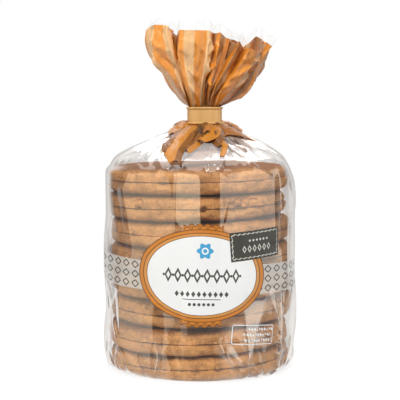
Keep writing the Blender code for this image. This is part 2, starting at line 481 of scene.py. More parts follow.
def biscuit_material():
    """A brown sandy crust with pits and cracks, darker at the baked top: toasting and painted shade by the
    slits.
    """
    made, tree, out = new_material("baked_biscuit")
    place = object_place(tree)
    patches = noise(tree, place, 60, 3, 0.6)
    grain = noise(tree, place, 1500, 3, 0.65)
    specks = noise(tree, place, 700, 2, 0.5, 3.0)
    lumps = noise(tree, place, 300, 3, 0.6, 5.0)
    cells = node_of(tree, "ShaderNodeTexVoronoi", {"feature": "DISTANCE_TO_EDGE"}, Vector=place, Scale=190.0)
    crack = (Field(tree, cells.outputs["Distance"]) < 0.03).both(noise(tree, place, 110, 1, 0.5, 8.0) > 0.63)
    toast_and_shade = point_value(tree, "toast_and_shade")
    # The baked top and rim are painted darker here: partly toasting, partly painted shade beside the slits.
    tone = (patches - 0.5) * 2.3 + (lumps - 0.5) * 1.1 + (grain - 0.5) * 1.7 - toast_and_shade * 0.95 + 0.74
    baked = colour_between(tree, tone.both(1.0).either(0.0), BISCUIT_DARK, BISCUIT_LIGHT)
    pits = ((specks > 0.67) * 0.35).either(crack * 0.35)
    baked = colour_between(tree, pits, baked, BISCUIT_PIT)
    relief = (grain * 0.4 + specks * 0.5 + lumps * 0.8 - crack * 0.4).socket
    bump = node_of(tree, "ShaderNodeBump", Height=relief, Strength=0.6, Distance=0.0007)
    crust = plain_shader(tree, baked, 0.75, bump.outputs[0], Specular_IOR_Level=0.2)
    tree.links.new(crust, out.inputs[0])
    return made


def syrup_material():
    """Dark glossy syrup with paler streaks."""
    made, tree, out = new_material("dark_syrup")
    streaks = noise(tree, object_place(tree), 260, 2, 0.5)
    colour = colour_between(tree, streaks, SYRUP_DARK, SYRUP_LIGHT)
    tree.links.new(plain_shader(tree, colour, 0.4), out.inputs[0])
    return made


BAKED = biscuit_material()
SYRUP = syrup_material()
print("materials", BAKED.name, SYRUP.name)

# %% [markdown]
# ## One tree for every cookie
#
# The tree takes a mesh of two points, one for each biscuit of a sandwich. It sets the turned biscuit on
# both, turned by the vector that each point carries, and makes the copies real. Three sizes of noise then
# move the surface along its normals: a slow one for the outline, a middle one for lumps and a small one
# for the crumbly edge. Crumbs are then strewn over the rims. A seed input moves the noise on, which gives
# each cookie its own shape.


# %% Geometry Nodes for the biscuits
def new_tree(name, inputs):
    """An empty Geometry Nodes tree with named inputs, and its two ends."""
    tree = bpy.data.node_groups.new(name, "GeometryNodeTree")
    tree.interface.new_socket("Geometry", in_out="INPUT", socket_type="NodeSocketGeometry")
    tree.interface.new_socket("Geometry", in_out="OUTPUT", socket_type="NodeSocketGeometry")
    for label, kind, value in inputs:
        socket = tree.interface.new_socket(label, in_out="INPUT", socket_type="NodeSocket" + kind)
        if value is not None:
            socket.default_value = value
    return tree, tree.nodes.new("NodeGroupInput"), tree.nodes.new("NodeGroupOutput")


def made_plain(name, source, tree, **values):
    """The mesh that a tree makes of an object's mesh, as a new object with no modifier."""
    start = new_object(name + "_start", source)
    modifier = start.modifiers.new("shape", "NODES")
    modifier.node_group = tree
    for item in tree.interface.items_tree:
        label = item.name.replace(" ", "_").lower()
        if item.in_out == "INPUT" and label in values:
            modifier[item.identifier] = values[label]
    graph = bpy.context.evaluated_depsgraph_get()
    mesh = bpy.data.meshes.new_from_object(start.evaluated_get(graph), depsgraph=graph)
    mesh.name = name
    bpy.data.objects.remove(start, do_unlink=True)
    return new_object(name, mesh)


# %% Crumbs on the rims
RIM_UPRIGHT = 0.75
FULL_TURN = 6.28


def crumbs_on(tree, given, surface):
    """Crumbs of several sizes, half sunk in the rims and turned at random."""
    link = tree.links.new
    normal = tree.nodes.new("GeometryNodeInputNormal").outputs[0]
    upright = node_of(tree, "ShaderNodeSeparateXYZ", Vector=normal).outputs["Z"]
    rim = Field(tree, upright).size() < RIM_UPRIGHT
    spread = node_of(tree, "GeometryNodeDistributePointsOnFaces", Mesh=surface, Selection=rim)
    link(given.outputs["Crumbs"], spread.inputs["Density"])
    link((Field(tree, given.outputs["Seed"]) * 17 + 3).socket, spread.inputs["Seed"])
    ball = node_of(tree, "GeometryNodeMeshIcoSphere", Radius=given.outputs["Crumb Size"], Subdivisions=2)
    size = node_of(tree, "FunctionNodeRandomValue", {"data_type": "FLOAT"})
    size.inputs[2].default_value, size.inputs[3].default_value = 0.1, 1.0
    uneven = Field(tree, size.outputs[1]).math("POWER", 3.0) + 0.35
    turn = node_of(tree, "FunctionNodeRandomValue", {"data_type": "FLOAT_VECTOR"})
    turn.inputs[1].default_value = (FULL_TURN,) * 3
    put = node_of(tree, "GeometryNodeInstanceOnPoints", Points=spread.outputs[0], Instance=ball.outputs[0])
    link(turn.outputs[0], put.inputs["Rotation"])
    wide = node_of(tree, "ShaderNodeCombineXYZ", X=uneven, Y=uneven * 0.75, Z=uneven * 0.6)
    link(wide.outputs[0], put.inputs["Scale"])
    return node_of(tree, "GeometryNodeRealizeInstances", Geometry=put.outputs[0]).outputs[0]


# %% The tree of a sandwich
NOISES = (("Outline Waves", 34, 1, 0.4), ("Lumps", 120, 2, 0.5), ("Crumble", 420, 2, 0.6))
UPRIGHT_PUSH = 0.35


def sandwich_tree():
    """Two biscuits set on two points, roughened by three sizes of noise, with crumbs."""
    inputs = [
        ("Biscuit", "Object", None),
        ("Seed", "Float", 0.0),
        ("Outline Waves", "Float", 1.9 * MM),
        ("Lumps", "Float", 1.9 * MM),
        ("Crumble", "Float", 0.75 * MM),
        ("Crumbs", "Float", 26000.0),
        ("Crumb Size", "Float", 0.55 * MM),
        ("Finish", "Material", None),
    ]
    tree, given, result = new_tree("sandwich", inputs)
    link = tree.links.new
    shape = node_of(tree, "GeometryNodeObjectInfo", Object=given.outputs["Biscuit"])
    turn = node_of(tree, "GeometryNodeInputNamedAttribute", {"data_type": "FLOAT_VECTOR"}, Name="turn")
    copies = node_of(tree, "GeometryNodeInstanceOnPoints", Points=given.outputs["Geometry"])
    link(shape.outputs["Geometry"], copies.inputs["Instance"])
    spin = node_of(tree, "FunctionNodeEulerToRotation", Euler=turn.outputs[0])
    link(spin.outputs[0], copies.inputs["Rotation"])
    real = node_of(tree, "GeometryNodeRealizeInstances", Geometry=copies.outputs[0])
    place = tree.nodes.new("GeometryNodeInputPosition").outputs[0]
    seed = given.outputs["Seed"]
    push = sum(
        (noise(tree, place, scale, detail, rough, seed) - 0.5) * Field(tree, given.outputs[label]) * 2
        for label, scale, detail, rough in NOISES
    )
    normal = tree.nodes.new("GeometryNodeInputNormal").outputs[0]
    move = vector_math(tree, "SCALE", vector_math(tree, "MULTIPLY", normal, (1, 1, UPRIGHT_PUSH)), Scale=push)
    moved = node_of(tree, "GeometryNodeSetPosition", Geometry=real.outputs[0], Offset=move)
    crumbs = crumbs_on(tree, given, moved.outputs[0])
    joined = node_of(tree, "GeometryNodeJoinGeometry")
    link(crumbs, joined.inputs[0])
    link(moved.outputs[0], joined.inputs[0])
    finish = given.outputs["Finish"]
    done = node_of(tree, "GeometryNodeSetMaterial", Geometry=joined.outputs[0], Material=finish)
    link(done.outputs[0], result.inputs[0])
    return tree


SANDWICH = sandwich_tree()
print("tree", SANDWICH.name, len(SANDWICH.nodes), "nodes")

# %% [markdown]
# ## The stack
#
# Cookies in a bag never line up. The side steps below are how far each one sits right of the middle,
# from the lowest to the highest, and each also leans a little. The biscuits of one sandwich slip by less,
# because the syrup holds them. A few knobs of dough stand out of the rims where the photograph shows
# them, each in a groove of its own, and small lumps and dents at random go all the way round. A knob is
# listed as its place, right and up, its width and its height, and a negative height makes a hole.

# %% Places in the stack, knobs and lumps
SIDE_STEPS = (0.0, -0.5, 1.0, 0.2, 0.7, 1.2, -1.7, -2.2)
DEPTH_STEPS = (0.2, -0.6, 0.5, -0.3, 0.6, -0.4, 0.3, -0.5)
RIGHT_SIDE_UP = (0.026, 0.022, 0.014, 0.012, 0.012, 0.016, 0.02, 0.014)
STACK_PITCH = 12.15
STACK_BOTTOM = -0.55
REST_HEIGHT = 0.3
SYRUP_THICK = PITCH - 2 * BISCUIT_THICK
SYRUP_OVERLAP = 0.15
SYRUP_RADIUS = 41.9
SYRUP_ROUND = 0.8
SYRUP_STEPS = 220
SYRUP_WAVES = (3, 7, 12, 19, 31, 44)
SLIP = 0.8
KNOBS = (
    (-28.2, 80.4, 1.9, 1.8),
    (1.4, 78.6, 0.9, -1.8),
    (14.4, 79.6, 1.5, 1.2),
    (17.4, 81.2, 1.7, 1.4),
    (21.2, 81.6, 1.6, 1.3),
    (24.8, 80.8, 1.8, 1.4),
    (28.0, 79.2, 1.5, 1.2),
    (-12.5, 54.6, 1.4, 0.7),
    (-24.0, 30.5, 1.6, 0.8),
    (8.0, 6.5, 1.3, 0.7),
)
KNOB_GROOVE = 1.1
GROOVE_WIDTH = 0.45
FAR_OFF = 99
RIM_LUMPS = 90
LUMP_SUNK = 0.6
LUMP_RISE = 5.6
LUMP_HEIGHTS = (-0.55, 0.75)
LUMP_WIDTHS = (1.2, 3.0)
lump_draw = np.random.default_rng(19)
draw = np.random.default_rng(7)
print("syrup", round(SYRUP_THICK, 2), "mm thick,", len(KNOBS), "knobs")


# %% Tools for one sandwich
def two_points(centre, lean):
    """The points of one sandwich: the lower biscuit upside down, the upper one upright."""
    mesh = bpy.data.meshes.new("pair")
    places, turns = [], []
    leaning = Matrix.Rotation(-lean[1], 3, "Y") @ Matrix.Rotation(lean[0], 3, "X")
    for side in (-1, 1):
        slip = draw.uniform(-SLIP, SLIP, 2)
        height = side * SYRUP_THICK / 2
        places.append((centre + np.array([slip[0], slip[1], height])) * MM)
        flip = Matrix.Rotation(math.pi if side < 0 else 0.0, 3, "X")
        spin = Matrix.Rotation(draw.uniform(0, 2 * math.pi), 3, "Z")
        turns.append(tuple((leaning @ flip @ spin).to_euler()))
    mesh.from_pydata([tuple(place) for place in places], [], [])
    turn = mesh.attributes.new("turn", "FLOAT_VECTOR", "POINT")
    turn.data.foreach_set("vector", np.ravel(turns))
    return mesh


def syrup_layer(name, centre, lean):
    """A thin wavy disc between two biscuits."""
    angles = np.arange(SYRUP_STEPS) * 2 * math.pi / SYRUP_STEPS
    waves = sum(
        draw.uniform(0.05, 0.3) * np.sin(turns * angles + draw.uniform(0, FULL_TURN)) for turns in SYRUP_WAVES
    )
    half = SYRUP_THICK / 2 + SYRUP_OVERLAP
    edge = quarter((SYRUP_RADIUS - SYRUP_ROUND, 0), (SYRUP_ROUND, half), -90, 90, 7)
    rings = []
    for radius, height in [(20, -half), *edge, (20, half)]:
        out = radius + waves * (radius > 30)
        rings.append(ring_of(out * np.cos(angles), out * np.sin(angles), height))
    rings = np.array(rings)
    rings[..., 2] += rings[..., 1] * lean[0] + rings[..., 0] * lean[1]
    rings += centre
    ends = [centre - [0, 0, half], centre + [0, 0, half]]
    mesh = closed_mesh(name, np.vstack([rings.reshape(-1, 3), ends]), len(rings), SYRUP_STEPS)
    mesh.materials.append(SYRUP)
    return new_object(name, mesh)


def finish_rims(mesh, middle):
    """Knobs of dough in grooves on the front, lumps all round, and a flat rest for the lowest biscuit."""
    places = points_of(mesh)
    x, y, z = places.T
    push = np.zeros(len(places))
    for knob_x, knob_z, wide, high in KNOBS:
        away = np.hypot(x - knob_x, z - knob_z) + FAR_OFF * (y > 0)
        push += high * np.clip(1 - (away / wide) ** 2, 0, 1)
        push -= abs(high) * KNOB_GROOVE * np.exp(-(((away - wide) / GROOVE_WIDTH) ** 2))
    out = BISCUIT_RADIUS - LUMP_SUNK
    for _ in range(RIM_LUMPS):
        azimuth, high = lump_draw.uniform(0, 2 * math.pi), lump_draw.uniform(*LUMP_HEIGHTS)
        rise = lump_draw.uniform(-LUMP_RISE, LUMP_RISE)
        centre = middle + (out * math.cos(azimuth), out * math.sin(azimuth), rise)
        away = np.linalg.norm(places - centre, axis=1) / lump_draw.uniform(*LUMP_WIDTHS)
        push += high * np.clip(1 - away**2, 0, 1)
    places[:, :2] *= (1 + push / np.maximum(np.hypot(x, y), 20))[:, None]
    places[:, 2] = np.maximum(places[:, 2], REST_HEIGHT)
    mesh.vertices.foreach_set("co", places.ravel() * MM)


# %% Eight cookies
contents = []
for number in range(COOKIES):
    height = STACK_PITCH * (number + 0.5) + STACK_BOTTOM
    middle = np.array([SIDE_STEPS[number], DEPTH_STEPS[number], height])
    lean = np.array([draw.uniform(-0.005, 0.005), RIGHT_SIDE_UP[number]])
    cookie = made_plain(
        f"cookie_{number + 1}",
        two_points(middle, lean),
        SANDWICH,
        biscuit=biscuit_source,
        seed=float(number),
        finish=BAKED,
    )
    finish_rims(cookie.data, middle)
    contents.append(cookie)
    syrup = syrup_layer(f"syrup_{number + 1}", middle, lean)
    contents.append(syrup)
print("cookies", len(contents) // 2, "faces each", len(contents[0].data.polygons))

# %% [markdown]
# ## Film
#
# The bag is a tube of film. It is modelled as one grid: a column is a line of film that runs from the
# middle of the base, up the drum and over the shoulder, into the neck, and a row is a ring round the
# bag. Thin film doesn't stretch, it creases: a crease is a straight ridge with flat film on both sides.
# So the relief is a sum of such ridges, some listed one by one where the photograph shows them and the
# rest drawn at random from a fixed seed. The folds of the ruffle come first, because the neck below
# follows them. A fold is listed as its direction in the neck, in degrees, and points up to the cut edge.


# %% The folds of the ruffle
FRONT_FOLDS = (
    (180, (-9.2, 0.5, 126.6), (-12.2, 0.5, 130.5), (-18.9, 0, 141), (-25, -1, 149.5),
     (-26.4, -1.5, 156.5), (-23.5, 0.5, 164.5)),
    (186, (-9.6, -4.5, 130.5), (-15.5, -6.5, 141), (-21, -8, 150), (-22, -7.5, 158),
     (-19, -4, 166.5)),
    (193, (-7.4, -7, 131), (-11, -10.5, 142), (-13.6, -13, 152), (-15.3, -13, 160.5),
     (-13.2, -9, 165.5)),
    (198, (-6.6, -2.4, 131), (-9, -2, 142), (-10.6, -0.8, 152), (-11.2, 0.8, 162)),
    (203, (-5.9, -7.5, 130.5), (-8.6, -12, 141.5), (-9.8, -14.5, 152), (-9.3, -15.5, 164.5)),
    (257, (0.7, -8.5, 130.5), (2.4, -13.5, 141.5), (4.2, -16, 152), (4.6, -17, 164)),
    (267, (2.6, -4.5, 130.5), (4.3, -6, 141.5), (5.6, -6.5, 152), (6.4, -6, 162.5)),
    (277, (3.9, -8, 130), (6.2, -12, 141), (8.4, -14, 151.5), (10.2, -15, 163)),
    (286, (5, -5, 130), (9, -6.5, 141), (12.5, -7, 150), (15.6, -6, 158)),
    (294, (6, -8, 129.5), (10.7, -12, 140), (15.8, -14.5, 149), (20.2, -15, 158.5)),
    (305, (7.4, -5, 129.5), (13, -7, 139.5), (18.2, -8, 147.5), (22, -7, 154.5)),
    (317, (9, -7.5, 129), (16.3, -11.5, 140), (21.6, -13, 148.5), (25.5, -13, 155)),
    (330, (12.2, -5, 128.5), (21.6, -7, 139), (26.6, -7.5, 147), (30.5, -7.5, 152)),
    (340, (14, -2.5, 127.6), (23, -3.5, 137.5), (26.6, -4.5, 147), (28.6, -3, 159)),
    (348, (14.8, -1, 126.4), (22.5, -1, 131.5), (26.6, -0.5, 139), (28.4, -2, 144),
     (37, -4.5, 156.5)),
    (356, (15, 1.5, 126.6), (22.5, 2.5, 132), (26.4, 3, 139.5), (29, 3, 145),
     (37, 3.5, 157)),
)
BACK_PLEATS = 6
BACK_RIDGE = 19.0
BACK_VALLEY = 7.5
BACK_HEIGHT = 160.0
BACK_SWAY = 3.0
GOBLET = 0.86


def back_folds():
    """The folds behind the opening, from the right end back to the left end."""
    left, right = FRONT_FOLDS[0][-1][0], FRONT_FOLDS[-1][-1][0]
    count = 2 * BACK_PLEATS - 1
    folds = []
    for index in range(count):
        across = (index + 0.75) / (count + 0.5)
        edge = math.sin(math.pi * across) ** 0.35
        depth = (BACK_VALLEY if index % 2 else BACK_RIDGE) * edge
        height = BACK_HEIGHT + BACK_SWAY * math.sin(2.1 * index)
        top = (right + (left - right) * across, depth, height)
        start = NECK_SHIFT * (1 - across)
        waist = (start + (top[0] - start) * GOBLET, top[1] * GOBLET, (BAND_TOP + height) / 2)
        folds.append((360 + 180 * across, waist, top))
    return folds


FOLD_LINES = (*FRONT_FOLDS, *back_folds())
FOLDS = np.array([line[-1] for line in FOLD_LINES])
PANELS = np.linalg.norm(np.roll(FOLDS, -1, axis=0) - FOLDS, axis=1)
CUT_EDGE = float(PANELS.sum())
FOLD_SHARES = np.concatenate([[0], np.cumsum(PANELS)]) / CUT_EDGE
print("folds", len(FOLDS), "cut edge", round(CUT_EDGE, 1), "mm")


# %% Where a line of film runs
def fold_place(share):
    """The panel that a share of the girth falls on, and how far across it."""
    share = np.mod(share, 1.0)
    panel = np.clip(np.searchsorted(FOLD_SHARES, share, side="right") - 1, 0, len(FOLDS) - 1)
    across = (share - FOLD_SHARES[panel]) / (FOLD_SHARES[panel + 1] - FOLD_SHARES[panel])
    return panel, across


def inward_folds():
    """1 for each fold that turns inwards at the cut edge, else 0."""
    before = FOLDS - np.roll(FOLDS, 1, axis=0)
    after = np.roll(FOLDS, -1, axis=0) - FOLDS
    return (before[:, 0] * after[:, 1] - before[:, 1] * after[:, 0] <= 0).astype(float)


INWARD = inward_folds()


def direction(share):
    """The plan direction of a line of film on the drum. Share 0 is the left side, 0.25 the front."""
    angle = math.pi + 2 * math.pi * share
    return np.cos(angle), np.sin(angle)


def inwardness(share):
    """From 0 on an outward fold to 1 on an inward one."""
    panel, across = fold_place(share)
    return INWARD[panel] * (1 - across) + INWARD[(panel + 1) % len(FOLDS)] * across


def neck_place(share):
    """The plan place of a line of film inside the band."""
    right, back = direction(share)
    fold = NECK_FOLD * inwardness(share)
    return right * (NECK_HALF_WIDTH - fold) + NECK_SHIFT, back * (NECK_HALF_DEPTH - fold)


print("inward folds", int(INWARD.sum()), "of", len(FOLDS))


# %% Creases
def soft_edge(inside, width):
    """From 0 at the edge of a region to 1 where its inside is as deep as the width."""
    return np.clip(inside / width, 0, 1)


def crease_relief(across, along, creases, period):
    """The height of a sum of ridges. Each follows a line of points, with flat flanks of its own widths."""
    relief = np.zeros_like(across)
    for points, (left, right), high in creases:
        ends = np.array(points, float)
        lengths = np.linalg.norm(np.diff(ends, axis=0), axis=1)
        starts = np.concatenate([[0], np.cumsum(lengths)])
        nearest = np.full_like(across, np.inf)
        flank, gone = np.ones_like(across), np.zeros_like(across)
        for (x0, y0), (dx, dy), length, start in zip(ends, np.diff(ends, axis=0), lengths, starts):
            gap = across - x0
            gap = gap - period * np.round((gap - dx / 2) / period)
            t = np.clip((gap * dx + (along - y0) * dy) / length**2, 0, 1)
            away = np.hypot(gap - t * dx, along - y0 - t * dy)
            closer = away < nearest
            nearest = np.where(closer, away, nearest)
            right_of = gap * dy - (along - y0) * dx > 0
            flank = np.where(closer, np.where(right_of, right, left), flank)
            gone = np.where(closer, (start + t * length) / starts[-1], gone)
        swell = np.clip(1 - (2 * gone - 1) ** 2, 0, 1) ** 0.5
        relief += high * swell * np.clip(1 - nearest / flank, 0, 1)
    return relief


def facet_relief(across, along, facets, period):
    """Long facets that narrow to a point at the foot and lean out there by a tilt in degrees.

    Returns the relief and where a facet is, from 0 to 1."""
    relief, covered = np.zeros_like(across), np.zeros_like(across)
    for (x0, y0), (x1, y1), half_width, tilt in facets:
        length = math.hypot(x1 - x0, y1 - y0)
        right, up = (x1 - x0) / length, (y1 - y0) / length
        gap = across - x0
        gap = gap - period * np.round(gap / period)
        gone = (gap * right + (along - y0) * up) / length
        side = np.abs(gap * up - (along - y0) * right) / (half_width * np.clip(gone, 0.1, 1))
        inside = soft_edge(1.15 - side, 0.3) * soft_edge(1.06 - gone, 0.12) * np.clip(gone * 12, 0, 1)
        relief += inside * math.tan(math.radians(tilt)) * (0.8 - gone) * length
        covered = np.maximum(covered, inside)
    return relief, covered


def slow_waves(across, along, rng, count, low, high, size, period):
    """A sum of slow waves that closes on itself round the bag."""
    relief = np.zeros_like(across)
    for _ in range(count):
        turns = rng.integers(1, max(2, int(period / low)))
        length = rng.uniform(low, high)
        phase, tilt = rng.uniform(0, 2 * math.pi, 2)
        relief += np.sin(2 * math.pi * (turns * across / period + along / length) + phase + tilt)
    return relief * size / math.sqrt(count)


# %% [markdown]
# ## The drum and its shoulder
#
# Each row of the grid has a radius and a height on the drum. On the shoulder a row is part of the way
# from the drum's rim to the neck. The columns are spaced evenly by film length, so a UV map of film
# length round and up the bag fits the print without stretching it.

# %% Rows of the bag
FILM_COLUMNS = 640
BASE_ROWS = [(14.0, 0.05), (28.0, 0.05), (36.0, 0.05), (40.5, 0.1), (42.2, 0.5), (43.6, 1.4), (44.8, 2.8)]
DRUM_POINTS = [
    (45.5, 4.5), (46.0, 11), (46.0, 28), (46.0, 50), (45.8, 66), (45.2, 80), (44.6, 90), (43.2, 95.6)
]
SHOULDER_POINTS = [
    (0.00, 95.6), (0.06, 99.6), (0.20, 103.2), (0.40, 106.4),
    (0.62, 109.9), (0.84, 113.2), (1.0, 115.5), (1.0, 118.5),
]
DRUM_ROWS = 88
SHOULDER_ROWS = 52
SHOULDER_SPREAD = 40.0
LEVEL_ROW = 40


def smooth_line(points, count):
    """Points spread evenly along a smooth line through the given ones."""
    points = np.array(points, float)
    steps = np.concatenate([[0], np.cumsum(np.linalg.norm(np.diff(points, axis=0), axis=1))])
    slopes = np.gradient(points, steps, axis=0)
    where = np.linspace(0, steps[-1], count)
    index = np.clip(np.searchsorted(steps, where, side="right") - 1, 0, len(points) - 2)
    span = steps[index + 1] - steps[index]
    t = ((where - steps[index]) / span)[:, None]
    span = span[:, None]
    return (
        (1 + 2 * t) * (1 - t) ** 2 * points[index]
        + t * (1 - t) ** 2 * span * slopes[index]
        + t * t * (3 - 2 * t) * points[index + 1]
        + t * t * (t - 1) * span * slopes[index + 1]
    )


def bag_rows():
    """Plan right, plan back and height of every point, and the film length up each column."""
    share = np.arange(FILM_COLUMNS) / FILM_COLUMNS
    right, back = direction(share)
    drum = np.vstack([BASE_ROWS, smooth_line(DRUM_POINTS, DRUM_ROWS)])
    rows = [ring_of(right * radius, back * radius, height) for radius, height in drum]
    neck_right, neck_back = neck_place(share)
    gather = np.array(SHOULDER_POINTS) * [SHOULDER_SPREAD, 1.0]
    for gathered, height in smooth_line(gather, SHOULDER_ROWS)[1:]:
        part = min(gathered / SHOULDER_SPREAD, 1.0)
        x = right * RIM * (1 - part) + neck_right * part
        y = back * RIM * (1 - part) + neck_back * part
        rows.append(ring_of(x, y, height))
    places = np.array(rows)
    middle = places.mean(axis=1)
    radii = np.linalg.norm((places - middle[:, None])[..., :2], axis=-1).mean(axis=1)
    steps = np.hypot(np.diff(radii), np.diff(middle[:, 2]))
    up = np.concatenate([[radii[0]], radii[0] + np.cumsum(steps)])
    return places, share, up


film_places, film_share, film_up = bag_rows()
BASE_LENGTH = float(film_up[LEVEL_ROW] - film_places[LEVEL_ROW, 0, 2])
NECK_LENGTH = float(film_up[-1] - BASE_LENGTH)
print("rows", len(film_places), "columns", FILM_COLUMNS, "film length", round(film_up[-1], 1))
print("neck at", round(NECK_LENGTH, 1), "mm of film above the table")

# %% [markdown]
# ## Creasing the film
#
# A crease is listed as the points of its ridge, the width of film that slopes down on its left and on
# its right, seen up the line, and its height. The points are in millimetres of film: right of the front
# line, and up from the table. A wide slope turns the film's mirror image away from the softboxes, so
# these creases also set the edges of the milky sheets of light. A facet is a long flat dent, listed as
# its foot, its top, half its width and its tilt in degrees.

# %% Creases listed one by one
HAND_CREASES = [
    (((-36, 97), (-41, 86.5), (-36.8, 77), (-33.3, 64), (-30, 55)), (9, 6), 1.3),
    (((-11.2, 100), (-11.6, 70)), (5, 0.8), 0.5),
    (((9.4, 100), (9.4, 68)), (0.8, 5), 0.5),
    (((-22.4, 38), (-21.8, 22), (-22.6, 4)), (5, 9), 1.35),
    (((37.5, 94), (37.8, 62)), (6, 7), 1.1),
    (((-5.8, 42), (-5.6, 22), (-8, 6)), (9, 3), 1.3),
    (((-43.5, 44), (-42.8, 30), (-41.5, 10)), (6, 4), 0.9),
    (((-21.5, 19), (-21.5, 10), (-22.3, 2)), (1.7, 1.7), -1.2),
    (((7.5, 20), (10.5, 14), (16, 7)), (1.6, 2.8), 1.2),
    (((10.5, 20), (14.5, 13), (19.5, 8)), (1.6, 3), 1.2),
    (((14, 10), (18, 5.5), (23, 3)), (1.6, 2.6), 1),
    (((17.5, 22), (21.5, 10)), (1.4, 3.6), 1),
    (((-50, 26), (-43, 15), (-36, 3)), (2.2, 2.4), 1.4),
    (((-30, 12), (-24, 3)), (1.4, 3), 0.8),
    (((-16, 16), (-12, 3)), (1.4, 2.6), 0.7),
    (((-24, 104), (-16, 95)), (1.6, 2.6), 0.9),
    (((-6, 106), (-9, 96)), (2.4, 2), 0.4),
    (((3, 107), (2, 96)), (1.8, 2.4), 0.4),
    (((14, 106), (9.5, 97), (12, 92)), (1.4, 2), 0.6),
    (((24, 104), (30, 96), (37, 93)), (2, 1.6), 1),
    (((-40, 100), (-30, 96), (-14, 97)), (2, 1.4), 0.8),
]
FACETS = [
    ((22.2, 6), (26.8, 38), 6.2, 4),
    ((41.2, 22.5), (36.2, 42), 2, 6),
    ((40.3, 7.5), (45.4, 40), 2, 6),
    ((27.6, 13), (27, 22), 1.4, 6),
    ((15.5, 7), (8, 17.5), 1.8, 5),
    ((19.5, 8), (13.5, 17), 2, 5),
    ((23, 5.5), (17, 10.5), 1.4, 5),
    ((-22, 3), (-17.5, 17), 1.6, 4),
]
print("creases", len(HAND_CREASES), "facets", len(FACETS))

# %% [markdown]
# ## Random creases and layers
#
# The rest of the film has creases too many to place, so they are drawn at random from a fixed seed: fine
# ones on the drum, short ones at the foot, long ones on the shoulder and a few thin ones under the neck.
# The front of the drum is pulled smooth, most of all the clear strip between the two sheets of light.
# Gathered film lies in several layers, and each of them mirrors. The number of layers is kept for each
# point, so that the shoulder shines more at its left and the clear middle less.

# %% Random creases and layers of film
RANDOM_CREASES = (
    (60, ((-145, 145), (6, 78)), (8, 34), 0.5, (1.0, 4.5), (0.1, 0.42)),
    (44, ((-145, 145), (-6, 4)), (8, 20), 0.7, (0.8, 3.0), (0.3, 0.9)),
    (80, ((-145, 145), (94, 112)), (16, 42), 0.15, (1.5, 6.0), (0.15, 0.6)),
    (50, ((-145, 145), (100, 122)), (8, 24), 0.25, (0.6, 1.6), (0.1, 0.35)),
)
UPWARD_SHARE = 0.65
FRONT_HALF = 48
FRONT_TOP = 92
FRONT_CALM = 0.5
STRIP_MIDDLE = -0.9
STRIP_HALF = 13.5
STRIP_TOP = 96
STRIP_CALM = 0.85
GATHER_FROM = 98
RIGHT_LAYERS = 0.3
LEFT_LAYERS = 1.2
FOOT_LAYERS = 0.2
FOOT_TOP = 5
SINGLE_TOP = 36


def random_creases(rng, count, spans, lengths, slant, widths, heights):
    """Creases spread over a stretch of film, leaning by up to the slant."""
    made = []
    for _ in range(count):
        x, y = rng.uniform(*spans[0]), rng.uniform(*spans[1])
        length, lean = rng.uniform(*lengths), rng.uniform(-slant, slant)
        ends = (x, y), (x + length * math.sin(lean), y + length * math.cos(lean))
        wide = tuple(rng.uniform(*widths, 2))
        high = rng.uniform(*heights)
        made.append((ends, wide, high * rng.choice((-1, 1), p=(1 - UPWARD_SHARE, UPWARD_SHARE))))
    return made


def film_layers(arc, rise, folded):
    """How many layers of film mirror at each point, from those that the facets fold over."""
    gathered = soft_edge(rise - GATHER_FROM, 5) * (RIGHT_LAYERS + LEFT_LAYERS * soft_edge(16 - arc, 14))
    gathered *= np.clip((np.abs(arc - 3) - 10) / 10, 0.1, 1)
    gathered = gathered + FOOT_LAYERS * soft_edge(FOOT_TOP - rise, 4)
    single = 0.5 * soft_edge(SINGLE_TOP - rise, 20) * soft_edge(14 - np.abs(arc + 3), 4)
    return 1 + folded + gathered - single


def film_relief(share, up):
    """How far each point of the film stands out from the smooth bag, and its layers of film."""
    rng = np.random.default_rng(11)
    arc = (share - 0.25)[None, :] * GIRTH + np.zeros((len(up), 1))
    rise = (up - BASE_LENGTH)[:, None] + np.zeros((1, len(share)))
    drum, low, high, fine = [random_creases(rng, *row) for row in RANDOM_CREASES]
    relief = crease_relief(arc, rise, drum, GIRTH)
    relief += slow_waves(arc, rise, rng, count=7, low=26, high=60, size=0.45, period=GIRTH)
    relief *= 1 - FRONT_CALM * soft_edge(FRONT_HALF - np.abs(arc), 6) * soft_edge(FRONT_TOP - rise, 8)
    strip = soft_edge(STRIP_HALF - np.abs(arc - STRIP_MIDDLE), 3)
    relief *= 1 - STRIP_CALM * strip * soft_edge(STRIP_TOP - rise, 4)
    relief += crease_relief(arc, rise, HAND_CREASES + low + high + fine, GIRTH)
    leaning, folded = facet_relief(arc, rise, FACETS, GIRTH)
    ends = soft_edge(NECK_LENGTH - rise, 12) * soft_edge(rise + 30, 24)
    return (relief + leaning) * ends, film_layers(arc, rise, folded)


film_out, film_shine = film_relief(film_share, film_up)
print("relief from", round(film_out.min(), 1), "to", round(film_out.max(), 1), "mm")


# %% Normals and film length of a grid
def grid_normals(places):
    """The outward normals of a grid that closes on itself round its rows."""
    round_way = np.roll(places, -1, axis=1) - np.roll(places, 1, axis=1)
    up_way = np.gradient(places, axis=0)
    normal = np.cross(round_way, up_way)
    return normal / np.maximum(np.linalg.norm(normal, axis=-1, keepdims=True), 1e-9)


def numbers_of(items, name):
    """A whole number from each corner or face of a mesh."""
    found = np.empty(len(items), np.int32)
    items.foreach_get(name, found)
    return found


